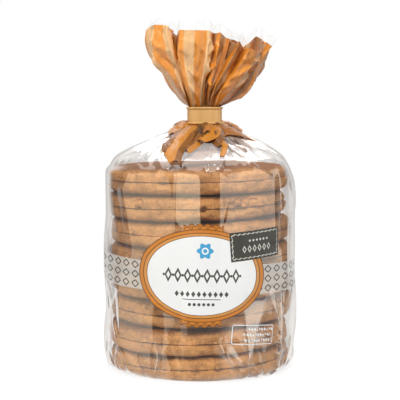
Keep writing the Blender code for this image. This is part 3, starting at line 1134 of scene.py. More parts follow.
def add_uv(mesh, columns, share_of, height_of):
    """A UV map of film length, from each corner's column and row, closed at the seam."""
    layer = mesh.uv_layers.new(name="film_length")
    corners = numbers_of(mesh.loops, "vertex_index")
    grid = columns * len(height_of)
    column = np.where(corners < grid, corners % columns, -1)
    row = np.where(corners < grid, corners // columns, 0)
    row = np.where(corners == grid + 1, len(height_of) - 1, row)
    across = share_of[np.maximum(column, 0)].copy()
    faces = len(mesh.polygons)
    face = np.repeat(np.arange(faces), numbers_of(mesh.polygons, "loop_total"))
    largest, total, count = np.zeros(faces), np.zeros(faces), np.zeros(faces)
    np.maximum.at(largest, face, np.where(column < 0, 0, across))
    across = np.where((largest[face] > 0.75) & (across < 0.25) & (column >= 0), across + 1, across)
    np.add.at(total, face, np.where(column < 0, 0, across))
    np.add.at(count, face, column >= 0)
    across = np.where(column < 0, (total / np.maximum(count, 1))[face], across)
    layer.data.foreach_set("uv", np.stack([across, height_of[row]], -1).ravel())


# %% [markdown]
# ## Film over the cookies
#
# Tight film touches the cookies that stand out furthest and runs straight from one to the next. So the
# cookies' reach is measured in every direction and at each height, film is pulled over it like a string
# over pegs, and the bag's surface is pushed out to that where it would otherwise cut through a cookie.


# %% The reach of the cookies
def contents_reach(directions, heights):
    """How far the cookies reach from the axis in each direction, at each height."""
    reach = np.zeros((len(heights), directions))
    for piece in contents:
        x, y, z = points_of(piece.data).T
        share = (np.arctan2(y, x) - math.pi) / (2 * math.pi) % 1.0
        column = np.round(share * directions).astype(int) % directions
        row = np.searchsorted(heights, z).clip(0, len(heights) - 1)
        np.maximum.at(reach, (row, column), np.hypot(x, y))
    return reach


def stretched_over(reach, heights):
    """Film pulled straight between the furthest points of each column, as a string goes over pegs."""
    pulled = np.empty_like(reach)
    for column in range(reach.shape[1]):
        hull = []
        for point in zip(heights, reach[:, column]):
            while len(hull) > 1:
                (x0, y0), (x1, y1) = hull[-2:]
                if (y1 - y0) * (point[0] - x0) > (point[1] - y0) * (x1 - x0):
                    break
                hull.pop()
            hull.append(point)
        pulled[:, column] = np.interp(heights, *zip(*hull))
    return pulled


# %% The body of the bag
FILM_GAP = 0.45
FILM_SPAN = 200.0
FILM_FLOOR = 0.05
SOFT_TOUCH = 0.25
REACH_DIRECTIONS = 160
REACH_SMOOTHING = 5
PUSH_FROM = 1.5
PUSH_TO = 98.5


def pushed_out(places):
    """Pushes the film out to where it is pulled over the cookies."""
    heights = np.arange(0.0, STACK + 1.0, 1.0)
    pulled = stretched_over(contents_reach(REACH_DIRECTIONS, heights), heights) + FILM_GAP
    for _ in range(REACH_SMOOTHING):
        pulled = (pulled + np.roll(pulled, 1, axis=1) + np.roll(pulled, -1, axis=1)) / 3
    around = np.arange(REACH_DIRECTIONS + 1) / REACH_DIRECTIONS
    needed = np.array([np.interp(film_share, around, np.append(row, row[0])) for row in pulled])
    height = places[..., 2]
    row = np.clip(height, 0, heights[-1] - 1)
    column = np.arange(FILM_COLUMNS)[None, :]
    low, part = row.astype(int), row - row.astype(int)
    needed = needed[low, column] * (1 - part) + needed[low + 1, column] * part
    side = soft_edge(height - PUSH_FROM, 3.0) * soft_edge(PUSH_TO - height, 2.0)
    reach = np.linalg.norm(places[..., :2], axis=-1)
    pushed = reach + SOFT_TOUCH * np.logaddexp(0, (needed * side - reach) / SOFT_TOUCH)
    places[..., :2] *= (pushed / np.maximum(reach, 1e-6))[..., None]
    print("film pushed out by up to", round(float((pushed - reach).max()), 1), "mm")
    return places


def film_body():
    """The creased bag from its base to the neck, closed at both ends."""
    places = film_places + grid_normals(film_places) * film_out[..., None]
    places[..., 2] = np.maximum(places[..., 2], FILM_FLOOR)
    places = pushed_out(places)
    ends = np.array([[0, 0, FILM_FLOOR], [NECK_SHIFT, 0, BAND_BOTTOM + 3.0]])
    mesh = closed_mesh("film_body", np.vstack([places.reshape(-1, 3), ends]), len(places), FILM_COLUMNS)
    add_uv(mesh, FILM_COLUMNS, film_share, film_up / FILM_SPAN)
    point_values(mesh, "layers", [*film_shine.ravel().tolist(), 1.0, 1.0])
    return new_object("film_body", mesh)


body_film = film_body()
print("film body", len(body_film.data.polygons), "faces")

# %% [markdown]
# ## Print
#
# The print is drawn by the shader in millimetres of film. Each motif is a mask, 1 inside it and 0
# outside. Motifs are laid over each other in order, and what none of them covers stays clear.


# %% Colours of the front print
def turned_frame(across, up, centre, degrees):
    """Coordinates of a motif: right and up from its middle, turned with it."""
    turn = math.radians(degrees)
    x, y = across - centre[0], up - centre[1]
    return x * math.cos(turn) + y * math.sin(turn), y * math.cos(turn) - x * math.sin(turn)


OVAL_CENTRE, OVAL_TILT = (1.0, 49.4), -1.8
OVAL_HALF = (30.6, 20.9)
SCROLL_PITCH = 3.7
ORANGE = linear(200, 122, 38)
PALE_ORANGE = linear(208, 142, 70)
LINE_BROWN = linear(92, 58, 26)
WHITE_INK = linear(236, 236, 234)
DARK_INK = linear(74, 72, 66)
BLUE_INK = linear(66, 160, 205)
STAMP = linear(50, 48, 40)
STAMP_LINE = linear(214, 211, 200)
BAND_GREY = linear(222, 218, 210)
BAND_LINE = linear(52, 44, 36)
print("oval", 2 * OVAL_HALF[0], "by", 2 * OVAL_HALF[1], "mm of film")


# %% The oval and its ornament
def oval_layers(across, up):
    """The framed oval: its scrolled crest and foot, the orange frame, the lines and the white field."""
    x, y = turned_frame(across, up, OVAL_CENTRE, OVAL_TILT)
    part = x / OVAL_HALF[0]
    reach = length_of(part, y / OVAL_HALF[1])
    edge = (-part * part + 1).either(0.0).math("SQRT") * OVAL_HALF[1]
    above = y.size() - edge
    scroll = length_of(x.repeat(SCROLL_PITCH), above - 0.9)
    small = length_of((x + SCROLL_PITCH / 2).repeat(SCROLL_PITCH), above - 0.3)
    crest = x.size() < 9.3
    layers = [
        ((scroll < 1.75).both(crest), LINE_BROWN),
        ((small < 1.35).both(crest), LINE_BROWN),
        ((small < 0.95).both(crest), ORANGE),
        ((scroll < 1.35).both(crest), ORANGE),
        (scroll.within(0.5, 0.8).both(crest), LINE_BROWN),
        (reach < 1.0, LINE_BROWN),
        (reach < 0.985, ORANGE),
        (reach < 0.925, LINE_BROWN),
        (reach < 0.910, PALE_ORANGE),
        (reach < 0.860, LINE_BROWN),
        (reach < 0.848, WHITE_INK),
    ]
    return layers, x, y


def field_ornament(x, y):
    """Rows of lozenges and dots in the white field, under a small rosette."""
    row = x.repeat(4.4)
    lozenge = row.size() / 1.75 + y.size() / 3.4
    dots = length_of((x + 2.2).repeat(4.4), y)
    inside = x.size() < 17.6
    small = x.repeat(2.5).size() / 0.95 + (y + 8.3).size() / 1.35
    rule = (y + 10.6).size().math("LESS_THAN", 0.17).both(x.size() < 8.6)
    last = length_of(x.repeat(2.1), y + 12.9)
    rx, ry = x - 1.0, y - 11.2
    angle = ry.math("ARCTAN2", rx)
    petal = (angle * 6).math("COSINE") * 0.55 + 3.3
    rose = length_of(rx, ry)
    return [
        ((lozenge < 1.0).both(lozenge > 0.5).both(inside), DARK_INK),
        ((dots < 0.6).both(x.size() < 18.0), DARK_INK),
        ((small < 1.0).both(x.size() < 12.5), DARK_INK),
        (rule, DARK_INK),
        ((last < 0.7).both(x.size() < 6.3), DARK_INK),
        (rose < petal, BLUE_INK),
        (rose.within(0.9, 1.6), WHITE_INK),
    ]


# %% The stamp, the belt and the small frame
def stamp_layers(across, up):
    """The dark tilted stamp with a wavy line inside its edge and plain ornament."""
    x, y = turned_frame(across, up, (27.4, 62.6), 3.6)
    half = (13.6, 6.6)
    inner = (x.size() - half[0]).either(y.size() - half[1])
    wave = ((x + y) * 2.6).math("SINE") * 0.22
    line = (inner + 1.15 + wave).size() < 0.17
    upper = length_of((x - 1).repeat(1.9), y - 2.2)
    lower = x.repeat(2.7).size() / 1.05 + (y + 1.5).size() / 1.7
    return [
        (inner < 0.0, STAMP),
        (line.both(inner < 0.0), STAMP_LINE),
        ((upper < 0.5).both((x - 1).size() < 5.7), STAMP_LINE),
        (lower.within(0.55, 1.0).both(x.size() < 8.1), STAMP_LINE),
    ]


BELT_TILT = 1.8
BELT_HEIGHT = 47.7
BELT_HALF = 6.7
BELT_PRINT_HALF = 6.4
BELT_GAP = (79.0, 93.0)
BELT_ROW = 4.35
BELT_DIAMONDS = 48
BELT_COLUMN = GIRTH / BELT_DIAMONDS
DIAMOND_POWER = 1.15


def belt_layers(across, up):
    """The pale belt, bare at either side of the bag, with three rows of outlined diamonds."""
    level = up - BELT_HEIGHT + (across / DRUM).math("SINE") * BELT_TILT
    beyond = (across.size() - 38).either(0.0).both(41.0)
    spread = across - across.math("SIGN") * beyond * beyond * 0.0098
    side = (spread + 32.1 + BELT_COLUMN / 2).repeat(BELT_COLUMN).size() / 2.35
    rise = (level + BELT_ROW / 2).repeat(BELT_ROW).size() / 1.75
    diamond = side.math("POWER", DIAMOND_POWER) + rise.math("POWER", DIAMOND_POWER)
    strip = (level.size() < BELT_HALF).both(-across.size().within(*BELT_GAP) + 1)
    outline = diamond.within(0.62, 1.0).both(strip).both(level.size() < BELT_PRINT_HALF)
    return [(strip, BAND_GREY), (outline, BAND_LINE)]


def panel_layers(across, up):
    """A small round-cornered frame of thin white line, with rows of small lozenges in groups."""
    x, y = turned_frame(across, up, (25.9, 21.4), -5.5)
    half, corner = (11.5, 4.5), 1.1
    out = length_of((x.size() - half[0] + corner).either(0.0), (y.size() - half[1] + corner).either(0.0))
    row = (y + 1.25).repeat(2.5)
    marks = row.size() / 0.95 + (x + y * 0.3).repeat(1.5).size() / 0.62
    group = (x + y * 1.7).repeat(6.2).size() < 2.5
    inside = (x - 1.5 - y.size() * 0.6).size() < 8.2
    return [
        (out.within(corner - 0.38, corner), WHITE_INK),
        ((marks < 1.0).both(group).both(inside).both(y.size() < 3.6), WHITE_INK),
    ]


# %% [markdown]
# ## The film's material
#
# Clear film lets most light straight through and mirrors a few percent of it, more where it is seen
# edge on. Real packing film has two or more layers with two faces each, so it mirrors several times as
# much as one surface of glass. A Transparent shader and a Glossy one are mixed by the Fresnel term times
# that number of faces, and on the bag also by the layers that each point holds. Seen edge on, the many
# layers of a bag dim each other, so both colours go greyer there. Crumpled film shows as small flat cells
# that each lean their own way. The printed parts cover all this with an ordinary glossy plastic.


# %% Clear film
FILM_ROUGHNESS = 0.06
FILM_TINT = (0.972, 0.970, 0.968, 1)
THIN_TINT = (0.996, 0.995, 0.994, 1)
EDGE_TINT = (0.86, 0.85, 0.84, 1)
FILM_SHEEN = (1.0, 0.97, 0.93, 1)
EDGE_SHEEN = (0.64, 0.61, 0.59, 1)
FACE_ON = 0.04
CRUMPLE_CELLS = ((5.5, 1.0), (2.3, 0.35))
CRUMPLE_TALL = 1.9
INK_ROUGHNESS = 0.32


def clear_film(tree, faces, tint, layers):
    """Transparent and glossy, mixed by the mirroring of this many faces of plastic in each layer."""
    through = node_of(tree, "ShaderNodeBsdfTransparent")
    mirror = node_of(tree, "ShaderNodeBsdfGlossy", Roughness=FILM_ROUGHNESS)
    edge_on = Field(tree, node_of(tree, "ShaderNodeLayerWeight", Blend=0.5).outputs["Facing"])
    for shader, facing, edge in ((through, tint, EDGE_TINT), (mirror, FILM_SHEEN, EDGE_SHEEN)):
        colour = colour_between(tree, edge_on.math("POWER", 2.0), facing, edge) if layers else facing
        feed(tree, shader.inputs["Color"], colour)
    mirrored = (edge_on.math("POWER", 5.0) * (1 - FACE_ON) + FACE_ON) * faces
    if layers:
        mirrored = mirrored * point_value(tree, "layers")
    return shader_between(tree, mirrored.both(1.0), through.outputs[0], mirror.outputs[0])


def crumpled(tree, across, up, depth):
    """A bump like crumpled foil: cells of film, each flat but tilted its own way, in two sizes."""
    relief = 0
    for size, share in CRUMPLE_CELLS:
        across_up = {"X": across / size, "Y": up / (size * CRUMPLE_TALL)}
        place = node_of(tree, "ShaderNodeCombineXYZ", **across_up).outputs[0]
        cells = node_of(tree, "ShaderNodeTexVoronoi", {"voronoi_dimensions": "2D"}, Vector=place, Scale=1.0)
        gap = vector_math(tree, "SUBTRACT", place, cells.outputs["Position"])
        slope = vector_math(tree, "SUBTRACT", cells.outputs["Color"], (0.5, 0.5, 0.5))
        relief = Field(tree, vector_math(tree, "DOT_PRODUCT", gap, slope)) * (share * size) + relief
    return node_of(tree, "ShaderNodeBump", Height=relief, Strength=1.0, Distance=depth * MM).outputs[0]


# %% Film with a print
def lay_over(tree, cover, colour, layers):
    """Lays masks with their colours over what is there, and returns the whole cover and its colour."""
    for mask, ink in layers:
        cover = cover.either(mask) if cover else mask
        colour = colour_between(tree, mask, colour, ink)
    return cover, colour


def printed_film(name, ink_of, faces, gloss, tint, lengths=(1.0, 1.0), crumple=0.0, layers=False):
    """The clear film with a print over it. The print comes from the film-length UV map."""
    made, tree, out = new_material(name)
    uv = tree.nodes.new("ShaderNodeUVMap")
    uv.uv_map = "film_length"
    parts = node_of(tree, "ShaderNodeSeparateXYZ", Vector=uv.outputs[0])
    share, height = (Field(tree, parts.outputs[k]) for k in (0, 1))
    cover, colour = ink_of(tree, share, height)
    bump = crumpled(tree, share * lengths[0], height * lengths[1], crumple) if crumple else None
    ink = plain_shader(tree, colour, INK_ROUGHNESS, bump, Specular_IOR_Level=gloss)
    clear = clear_film(tree, faces, tint, layers)
    tree.links.new(shader_between(tree, cover, clear, ink), out.inputs[0])
    return made


# %% Stripes
STRIPE_WIDTHS = (5.5, 5.2)
STRIPE_PAIRS = round(CUT_EDGE / sum(STRIPE_WIDTHS))
STRIPE_DUTY = STRIPE_WIDTHS[0] / sum(STRIPE_WIDTHS)
STRIPE_START = float(FOLD_SHARES[4] + 7.3 / CUT_EDGE)
STRIPE_ORANGE = linear(236, 148, 46)
STRIPE_BEIGE = linear(240, 188, 128)
# Painted shade: the beige ink as it looks in shade, used on the right side of the ruffle.
STRIPE_BEIGE_IN_SHADE = linear(206, 152, 102)
STRIPE_SKIP = 0.78
# Between these shares on the right, the stripes skip at a hidden fold and the beige is painted in shade.
SHADED_RIGHT_SHARES = (float(FOLD_SHARES[6]), float(FOLD_SHARES[16]))
WIDE_SHARES = np.interp((10.1, 11.8), np.arange(len(FOLD_SHARES)), FOLD_SHARES).tolist()
print("stripes", STRIPE_PAIRS, "of", round(CUT_EDGE / STRIPE_PAIRS, 1), "mm")


def stripes(tree, share):
    """Orange and beige stripes and one wide one; on the right a hidden fold, and beige in painted shade."""
    right = share.within(*SHADED_RIGHT_SHARES)
    orange = ((share - STRIPE_START + 1) * STRIPE_PAIRS + right * STRIPE_SKIP).math("FRACT") < STRIPE_DUTY
    pale = colour_between(tree, right, STRIPE_BEIGE, STRIPE_BEIGE_IN_SHADE)
    return colour_between(tree, orange.either(share.within(*WIDE_SHARES)), pale, STRIPE_ORANGE)


# %% The bag's ink
FRONT_FACES = 3.6
FRONT_REACH = 60
BELT_COVER = 0.62
BELT_LINE_COVER = 0.9
NECK_PRINT = 7.0
NECK_COVER = 0.96


def body_ink(tree, share, height):
    """The belt, the motifs of the front over it, and the first stripes at the neck."""
    across = (share - 0.25) * GIRTH
    up = height * FILM_SPAN - BASE_LENGTH
    belt = belt_layers(across, up)
    oval, x, y = oval_layers(across, up)
    motifs = [*oval, *field_ornament(x, y), *panel_layers(across, up), *stamp_layers(across, up)]
    near = across.size() < FRONT_REACH
    cover, colour = lay_over(tree, None, BAND_GREY, belt)
    front = [(mask.both(near), ink) for mask, ink in motifs]
    cover, colour = lay_over(tree, cover * BELT_COVER, colour, front)
    cover = cover.either(belt[1][0] * BELT_LINE_COVER)
    waves = noise(tree, node_of(tree, "ShaderNodeCombineXYZ", X=share * 26).outputs[0], 1.0, 1, 0.5)
    root = (up + waves * 6) > NECK_LENGTH - NECK_PRINT
    colour = colour_between(tree, root, colour, stripes(tree, share))
    return cover.either(root * NECK_COVER), colour


front_film = printed_film("film_with_front_print", body_ink, FRONT_FACES, 0.5, FILM_TINT, layers=True)
body_film.data.materials.append(front_film)
print("print from", round(NECK_LENGTH - NECK_PRINT, 1), "mm of film up")

# %% [markdown]
# ## Ruffle
#
# Above the band the film opens again. Its folds are straight lines of film, so the ruffle is a loft
# through them: each fold is a curve from the neck out to the cut edge, and between two folds lies a
# nearly flat panel. Small creases and a rounding of the folds take the stiffness out of it. A crease here
# goes from one place to another, each given by the number of a fold and the millimetres up it.

# %% Creases of the ruffle
RUFFLE_COLUMNS = 640
RUFFLE_ROWS = 68
RUFFLE_LENGTH = 44.0
RUFFLE_START = BAND_BOTTOM + 4.0
FILM_THICK = 0.16
FOLD_ANGLE = math.radians(32)
BULGE = 0.03
RUFFLE_CREASES = (
    (-0.3, 39.5, 2.0, 41.5, (2.0, 3.5), 1.6),
    (0.4, 22.0, 1.6, 36.0, (2.5, 3.0), 1.3),
    (1.2, 26.0, 2.0, 18.0, (2.0, 2.5), -1.2),
    (0.6, 34.0, 1.8, 28.0, (1.5, 2.5), 1.0),
    (4.5, 6.0, 4.6, 38.0, (3.0, 3.5), 0.8),
    (4.2, 14.0, 5.0, 2.0, (1.6, 2.0), 0.9),
    (5.1, 36.0, 6.3, 22.0, (1.6, 2.2), 1.5),
    (5.2, 22.0, 6.4, 30.0, (1.4, 2.0), -1.4),
    (5.6, 30.0, 7.0, 20.0, (1.5, 1.8), 1.4),
    (6.0, 16.0, 7.2, 24.0, (1.4, 1.8), 1.1),
    (9.3, 8.0, 10.2, 34.0, (2.2, 3.0), 1.3),
    (11.0, 20.0, 12.2, 36.0, (1.8, 2.4), 1.4),
    (12.0, 30.0, 13.0, 22.0, (1.5, 2.0), -1.3),
    (11.4, 34.0, 13.2, 38.0, (1.4, 2.0), 1.3),
)
RUFFLE_RANDOM = (
    (44, ((0, CUT_EDGE), (2, 32)), (10, 30), 0.4, (1.2, 4.5), (0.5, 1.6)),
    (64, ((0, CUT_EDGE), (8, 38)), (4, 14), 1.3, (0.8, 3.2), (0.5, 1.5)),
)


def fold_arc(fold):
    """Millimetres round the cut edge of a fold, or of a place between two of them such as 4.5."""
    return float(np.interp(fold, np.arange(len(FOLD_SHARES)), FOLD_SHARES) * CUT_EDGE)


def ruffle_relief(share, rise):
    """How far the ruffle stands out from its flat panels."""
    rng = np.random.default_rng(23)
    panel, across = fold_place(share)
    arc = share[None, :] * CUT_EDGE + np.zeros((len(rise), 1))
    up = rise[:, None] * RUFFLE_LENGTH + np.zeros((1, len(share)))
    creases = [crease for row in RUFFLE_RANDOM for crease in random_creases(rng, *row)]
    for first, first_up, second, second_up, wide, high in RUFFLE_CREASES:
        ends = [(fold_arc(first), first_up), (fold_arc(second), second_up)]
        creases.append((ends, wide, high))
    relief = crease_relief(arc, up, creases, CUT_EDGE)
    bulge = np.sin(math.pi * across) * PANELS[panel] * BULGE
    relief += bulge[None, :] * np.sin(math.pi * np.clip(rise, 0, 1))[:, None]
    return relief * np.clip(rise * 4, 0, 1)[:, None]


print("ruffle creases", len(RUFFLE_CREASES), "by hand")


# %% The ruffle's film
def fold_curve(line, inward):
    """Points up one fold: straight through the band, then along a smooth curve to the cut edge."""
    turn = math.radians(line[0])
    x = math.cos(turn) * (NECK_HALF_WIDTH - NECK_FOLD * inward) + NECK_SHIFT
    y = math.sin(turn) * (NECK_HALF_DEPTH - NECK_FOLD * inward)
    inside = [(x, y, RUFFLE_START), (x, y, BAND_TOP - 1.5)]
    return np.vstack([inside, smooth_line([(x, y, BAND_TOP), *line[1:]], RUFFLE_ROWS)])


def ruffle_places():
    """Rows of points up the ruffle, the share of the cut edge and the share of the way up."""
    share = (np.arange(RUFFLE_COLUMNS) + 0.5) / RUFFLE_COLUMNS
    panel, across = fold_place(share)
    curves = np.array([fold_curve(line, inward) for line, inward in zip(FOLD_LINES, INWARD)])
    here, there = curves[panel], curves[(panel + 1) % len(FOLDS)]
    places = here + (there - here) * across[:, None, None]
    rise = np.concatenate([[-0.1, -0.03], np.linspace(0, 1, RUFFLE_ROWS)])
    return places.transpose(1, 0, 2), share, rise


def soften(places, times):
    """Rounds sharp folds by moving each column towards its neighbours."""
    for _ in range(times):
        places = 0.5 * places + 0.25 * (np.roll(places, 1, axis=1) + np.roll(places, -1, axis=1))
    return places


def folded_mesh(name, places, faces, fold_angle=FOLD_ANGLE):
    """A smooth mesh with sharp edges where it folds, from points in millimetres."""
    mesh = bpy.data.meshes.new(name)
    mesh.from_pydata((places * MM).tolist(), [], faces)
    mesh.shade_smooth()
    mesh.set_sharp_from_angle(angle=fold_angle)
    return mesh


def film_ruffle():
    """The ruffle as one sheet with the thickness of film, open at both ends."""
    places, share, rise = ruffle_places()
    relief = ruffle_relief(share, rise)
    places = soften(places, 2)
    places = places + grid_normals(places) * relief[..., None]
    _, faces = ring_faces(len(places), RUFFLE_COLUMNS)
    mesh = folded_mesh("film_ruffle", places.reshape(-1, 3), faces)
    add_uv(mesh, RUFFLE_COLUMNS, share, rise)
    # Each point holds how far its column turns inward, for the painted shade in the folds.
    point_values(mesh, "valley", np.tile(inwardness(share), len(places)).tolist())
    piece = new_object("film_ruffle", mesh)
    wall = piece.modifiers.new("film_thickness", "SOLIDIFY")
    wall.thickness = FILM_THICK * MM
    wall.offset = -1
    return piece


ruffle = film_ruffle()
print("ruffle", len(ruffle.data.polygons), "faces before its thickness")

# %% The ruffle's ink
CLEAR_MARGIN = 0.895
# Painted shade: the stripes are multiplied by this colour in the inward folds, where shade falls.
PAINTED_VALLEY_SHADE = (0.44, 0.30, 0.20, 1)


def ruffle_ink(tree, share, rise):
    """Stripes, darkened in the inward folds by painted shade."""
    valley = point_value(tree, "valley")
    shaded = colour_between(tree, valley * valley, stripes(tree, share), PAINTED_VALLEY_SHADE, "MULTIPLY")
    return (rise < CLEAR_MARGIN) * 0.97, shaded


ruffle_lengths = (CUT_EDGE, RUFFLE_LENGTH)
ruffle_film = printed_film("film_with_stripes", ruffle_ink, 0.5, 1.0, THIN_TINT, ruffle_lengths, 1.1)
ruffle.data.materials.append(ruffle_film)
print("clear margin", round((1 - CLEAR_MARGIN) * RUFFLE_LENGTH, 1), "mm")

# %% [markdown]
# ## Tails under the band
#
# Below the band the printed end of the film comes out in a few deep pleats, which lie down on the
# shoulder like short wide tails. A pleat is a doubled layer of film, so each tail is a flat closed tube
# that follows a line on the shoulder, with a ridge along it, widens, and ends where its print stops. The
# tails that the photograph shows are listed one by one, and the ones behind follow a rule. A row of the
# table holds a tail's line in plan from the neck, its widths, its lift off the shoulder, where its ridge
# is, where its stripes start and how fast they pass, its slant and the shade of its print. The shade is
# partly the ink's tone and partly painted light: it paints one narrow tail dark as a shadow and makes the
# right tail lighter where the key lamp lights it less.

# %% Tails of printed film
FRONT_TAILS = (
    (((3, -3.7), (3, -11), (3.2, -18), (3.6, -24)), (7, 12, 14, 11), 0.1, 0.1, 8.1, 0.25, 0.0, 0.72),
    (((-3.6, -1.8), (-8, -3.5), (-11, -8), (-12.4, -15)), (4, 7, 7, 5), 0.7, 0.3, 2.0, 0.7, 0.0, 0.8),
    (((0.5, -3.8), (0.4, -15), (-3.4, -27), (-8.6, -35.5)), (4, 6, 8.0, 7), 0.6, -0.4, 7.0, 0.8, 0.3, 0.9),
    # Painted light: this right tail's shade of 1.4 makes it lighter where the key lamp lights it less.
    (((8.4, -3.2), (12, -9.5), (15, -13.5), (18, -17.5)), (4, 9, 15, 17), 1.4, -0.4, 8.22, 0.6, 0.5, 1.4),
    (((8.2, -5), (8, -17), (8.4, -26), (10.6, -34)), (2, 7, 7, 1), 1.9, 0.3, 8.1, 0.25, 0.0, 0.85),
    (((3.6, -4), (3.8, -10), (3.7, -21)), (5, 6, 4.5), 1.9, -0.3, 8.1, 0.2, 0.0, 1.9),
    # Painted shadow: this narrow tail, with a shade of 0.3, is a dark strip for the shadow in the gap between
    # the big left tail and the pale crease.
    (((0.2, -4), (0.4, -14), (0.6, -24)), (1.8, 2.4, 1.6), 2.1, 0.0, 8.1, 0.2, 0.0, 0.3),
    (((7.8, -4.4), (7.2, -14), (4, -24.5), (-1.5, -29.5)), (3, 5.5, 7, 5), 2.4, 0.2, 2.7, 0.3, -0.4, 0.95),
    (((8.6, -4), (9.4, -22), (11.2, -31), (9.4, -40)), (1, 1.2, 3.4, 2), 1.9, 0.2, 2.7, 0.3, 0.0, 1.0),
    (((-2.6, -3.6), (-5.6, -13), (-8.6, -22.5), (-12, -32), (-14.6, -40.5)), (5, 10, 12, 12.5, 11),
     2.0, -0.3, 3.2, 1.0, 1.3, 0.97),
)
BACK_TAILS = 9
TAIL_RIDGE = 0.24
TAIL_HIGH = 1.8
TAIL_THIN = 0.5
TAIL_SUNK = 0.4
TAIL_ROWS = 44
TAIL_SIDES = 40
NECK_FRONT = 4.1
NECK_SIDE = 7.4
NO_REPEAT = 500.0


def shoulder_height(x, y):
    """The height of the shoulder over a place in plan, where it is between the drum's rim and the neck."""
    gathered, height = np.array(SHOULDER_POINTS[:-1]).T
    reach = np.hypot(x, y)
    for _ in range(4):
        part = np.clip(gathered_part(x, y, reach), 0, 1)
        reach = np.hypot(x - NECK_SHIFT * part, y)
    return np.interp(part, gathered, height)


def gathered_part(x, y, reach):
    """0 at the drum's rim and 1 at the neck, whose oval reaches further to the sides than to the front."""
    side = np.abs(x) / np.maximum(np.hypot(x, y), 1e-6)
    neck = NECK_FRONT + (NECK_SIDE - NECK_FRONT) * side
    return (RIM - reach) / (RIM - neck)


def back_tails():
    """Tails round the sides and the back, by a rule with a seeded draw, as rows like FRONT_TAILS."""
    rng = np.random.default_rng(31)
    tails = []
    for turn in np.linspace(8, 172, BACK_TAILS):
        angle = math.radians(turn + rng.uniform(-6, 6))
        right, back = math.cos(angle), math.sin(angle)
        out = rng.uniform(13, 20)
        drift = rng.uniform(-4, 4)
        line = [(NECK_SHIFT + right * 5.5, back * 3.5)]
        for part in (0.45, 0.75, 1.0):
            side = drift * part * part
            line.append((NECK_SHIFT + right * out * part - back * side, back * out * part + right * side))
        wide = rng.uniform(5, 10)
        lift, ridge, first = rng.uniform((0.6, -0.5, 0), (1.8, 0.5, 11))
        tails.append((line, (4.0, wide, wide * 1.1, wide * 0.6), lift, ridge, first, 1.0, 0.0, 0.9))
    return tails


print("tails", len(FRONT_TAILS), "in front and", BACK_TAILS, "behind")


# %% The tube of one tail


def tail_rings(line, widths, lift, ridge, slant, rng):
    """The rings of one flat tube with a ridge along it, and the film length along it."""
    plan = smooth_line(line, TAIL_ROWS)
    part = np.linspace(0, 1, TAIL_ROWS)
    height = shoulder_height(plan[:, 0], plan[:, 1]) - TAIL_SUNK + lift * np.clip(part * 2.5, 0, 1)
    path = np.vstack([[(*plan[0], BAND_BOTTOM + 1.0)], np.column_stack([plan, height])])
    along = np.concatenate([[0], np.cumsum(np.linalg.norm(np.diff(path, axis=0), axis=1))])
    tangent = np.gradient(path, axis=0)
    across = np.cross(tangent, [0, 0, 1.0])
    across /= np.maximum(np.linalg.norm(across, axis=1, keepdims=True), 1e-9)
    across[0] = across[1]
    outward = np.cross(across, tangent)
    outward /= np.linalg.norm(outward, axis=1, keepdims=True)
    gone = along / along[-1]
    wide = np.interp(gone, np.linspace(0, 1, len(widths)), widths)
    angles = -np.arange(TAIL_SIDES) * 2 * math.pi / TAIL_SIDES
    side, up = np.cos(angles), np.sin(angles)
    place = np.sign(side) * np.abs(side) ** 0.7
    to_edge = np.where(place > ridge, (1 - place) / (1 - ridge), (1 + place) / (1 + ridge))
    high = np.minimum(TAIL_RIDGE * wide, TAIL_HIGH)
    high *= np.clip(gone * 6, 0.15, 1) * (1 - 0.5 * np.clip(gone * 2 - 1, 0, 1))
    x = place[None, :] * wide[:, None] / 2
    z = np.where(up > 0, 1, 0) * high[:, None] * to_edge + np.sign(up) * np.abs(up) ** 0.6 * TAIL_THIN / 2
    creases = random_creases(rng, 12, ((-7, 7), (-4, along[-1])), (6, 18), 0.45, (0.8, 3.0), (0.3, 1.0))
    z = z + crease_relief(x, along[:, None] + 0 * x, creases, NO_REPEAT) * np.clip(gone * 6, 0, 1)[:, None]
    onward = tangent / np.linalg.norm(tangent, axis=1, keepdims=True)
    ahead = -slant * gone[:, None] * x
    rings = path[:, None] + across[:, None] * x[..., None] + outward[:, None] * z[..., None]
    return rings + onward[:, None] * ahead[..., None], x, along


# %% All the tails
def film_tails():
    """All the tails as one mesh of closed flat tubes, with film length in its UV map."""
    rng = np.random.default_rng(5)
    points, faces, uvs, shades = [], [], [], []
    for line, widths, lift, ridge, first, spread, slant, shade in (*FRONT_TAILS, *back_tails()):
        rings, x, along = tail_rings(line, widths, lift, ridge, slant, rng)
        index, quads = ring_faces(len(rings), TAIL_SIDES, len(points))
        points += rings.reshape(-1, 3).tolist()
        faces += [*quads, index[0, ::-1].tolist(), index[-1].tolist()]
        share = (x * spread + first) / GIRTH + 0.5
        gone = along[:, None] / along[-1] + 0 * x
        uvs += np.stack([share, gone], -1).reshape(-1, 2).tolist()
        shades += [shade] * index.size
    mesh = folded_mesh("film_tails", np.array(points), faces)
    point_values(mesh, "shade", shades)
    layer = mesh.uv_layers.new(name="film_length")
    corners = numbers_of(mesh.loops, "vertex_index")
    layer.data.foreach_set("uv", np.array(uvs)[corners].ravel())
    return new_object("film_tails", mesh)


tails = film_tails()
print("tails", len(tails.data.polygons), "faces")

# %% The tails' ink
TAIL_ORANGE = linear(198, 128, 46)
# Painted shade: the tails' beige ink, painted brown as it looks in shade under a second layer of film.
TAIL_BEIGE_IN_SHADE = linear(136, 86, 40)
TAIL_CLEAR = 0.88


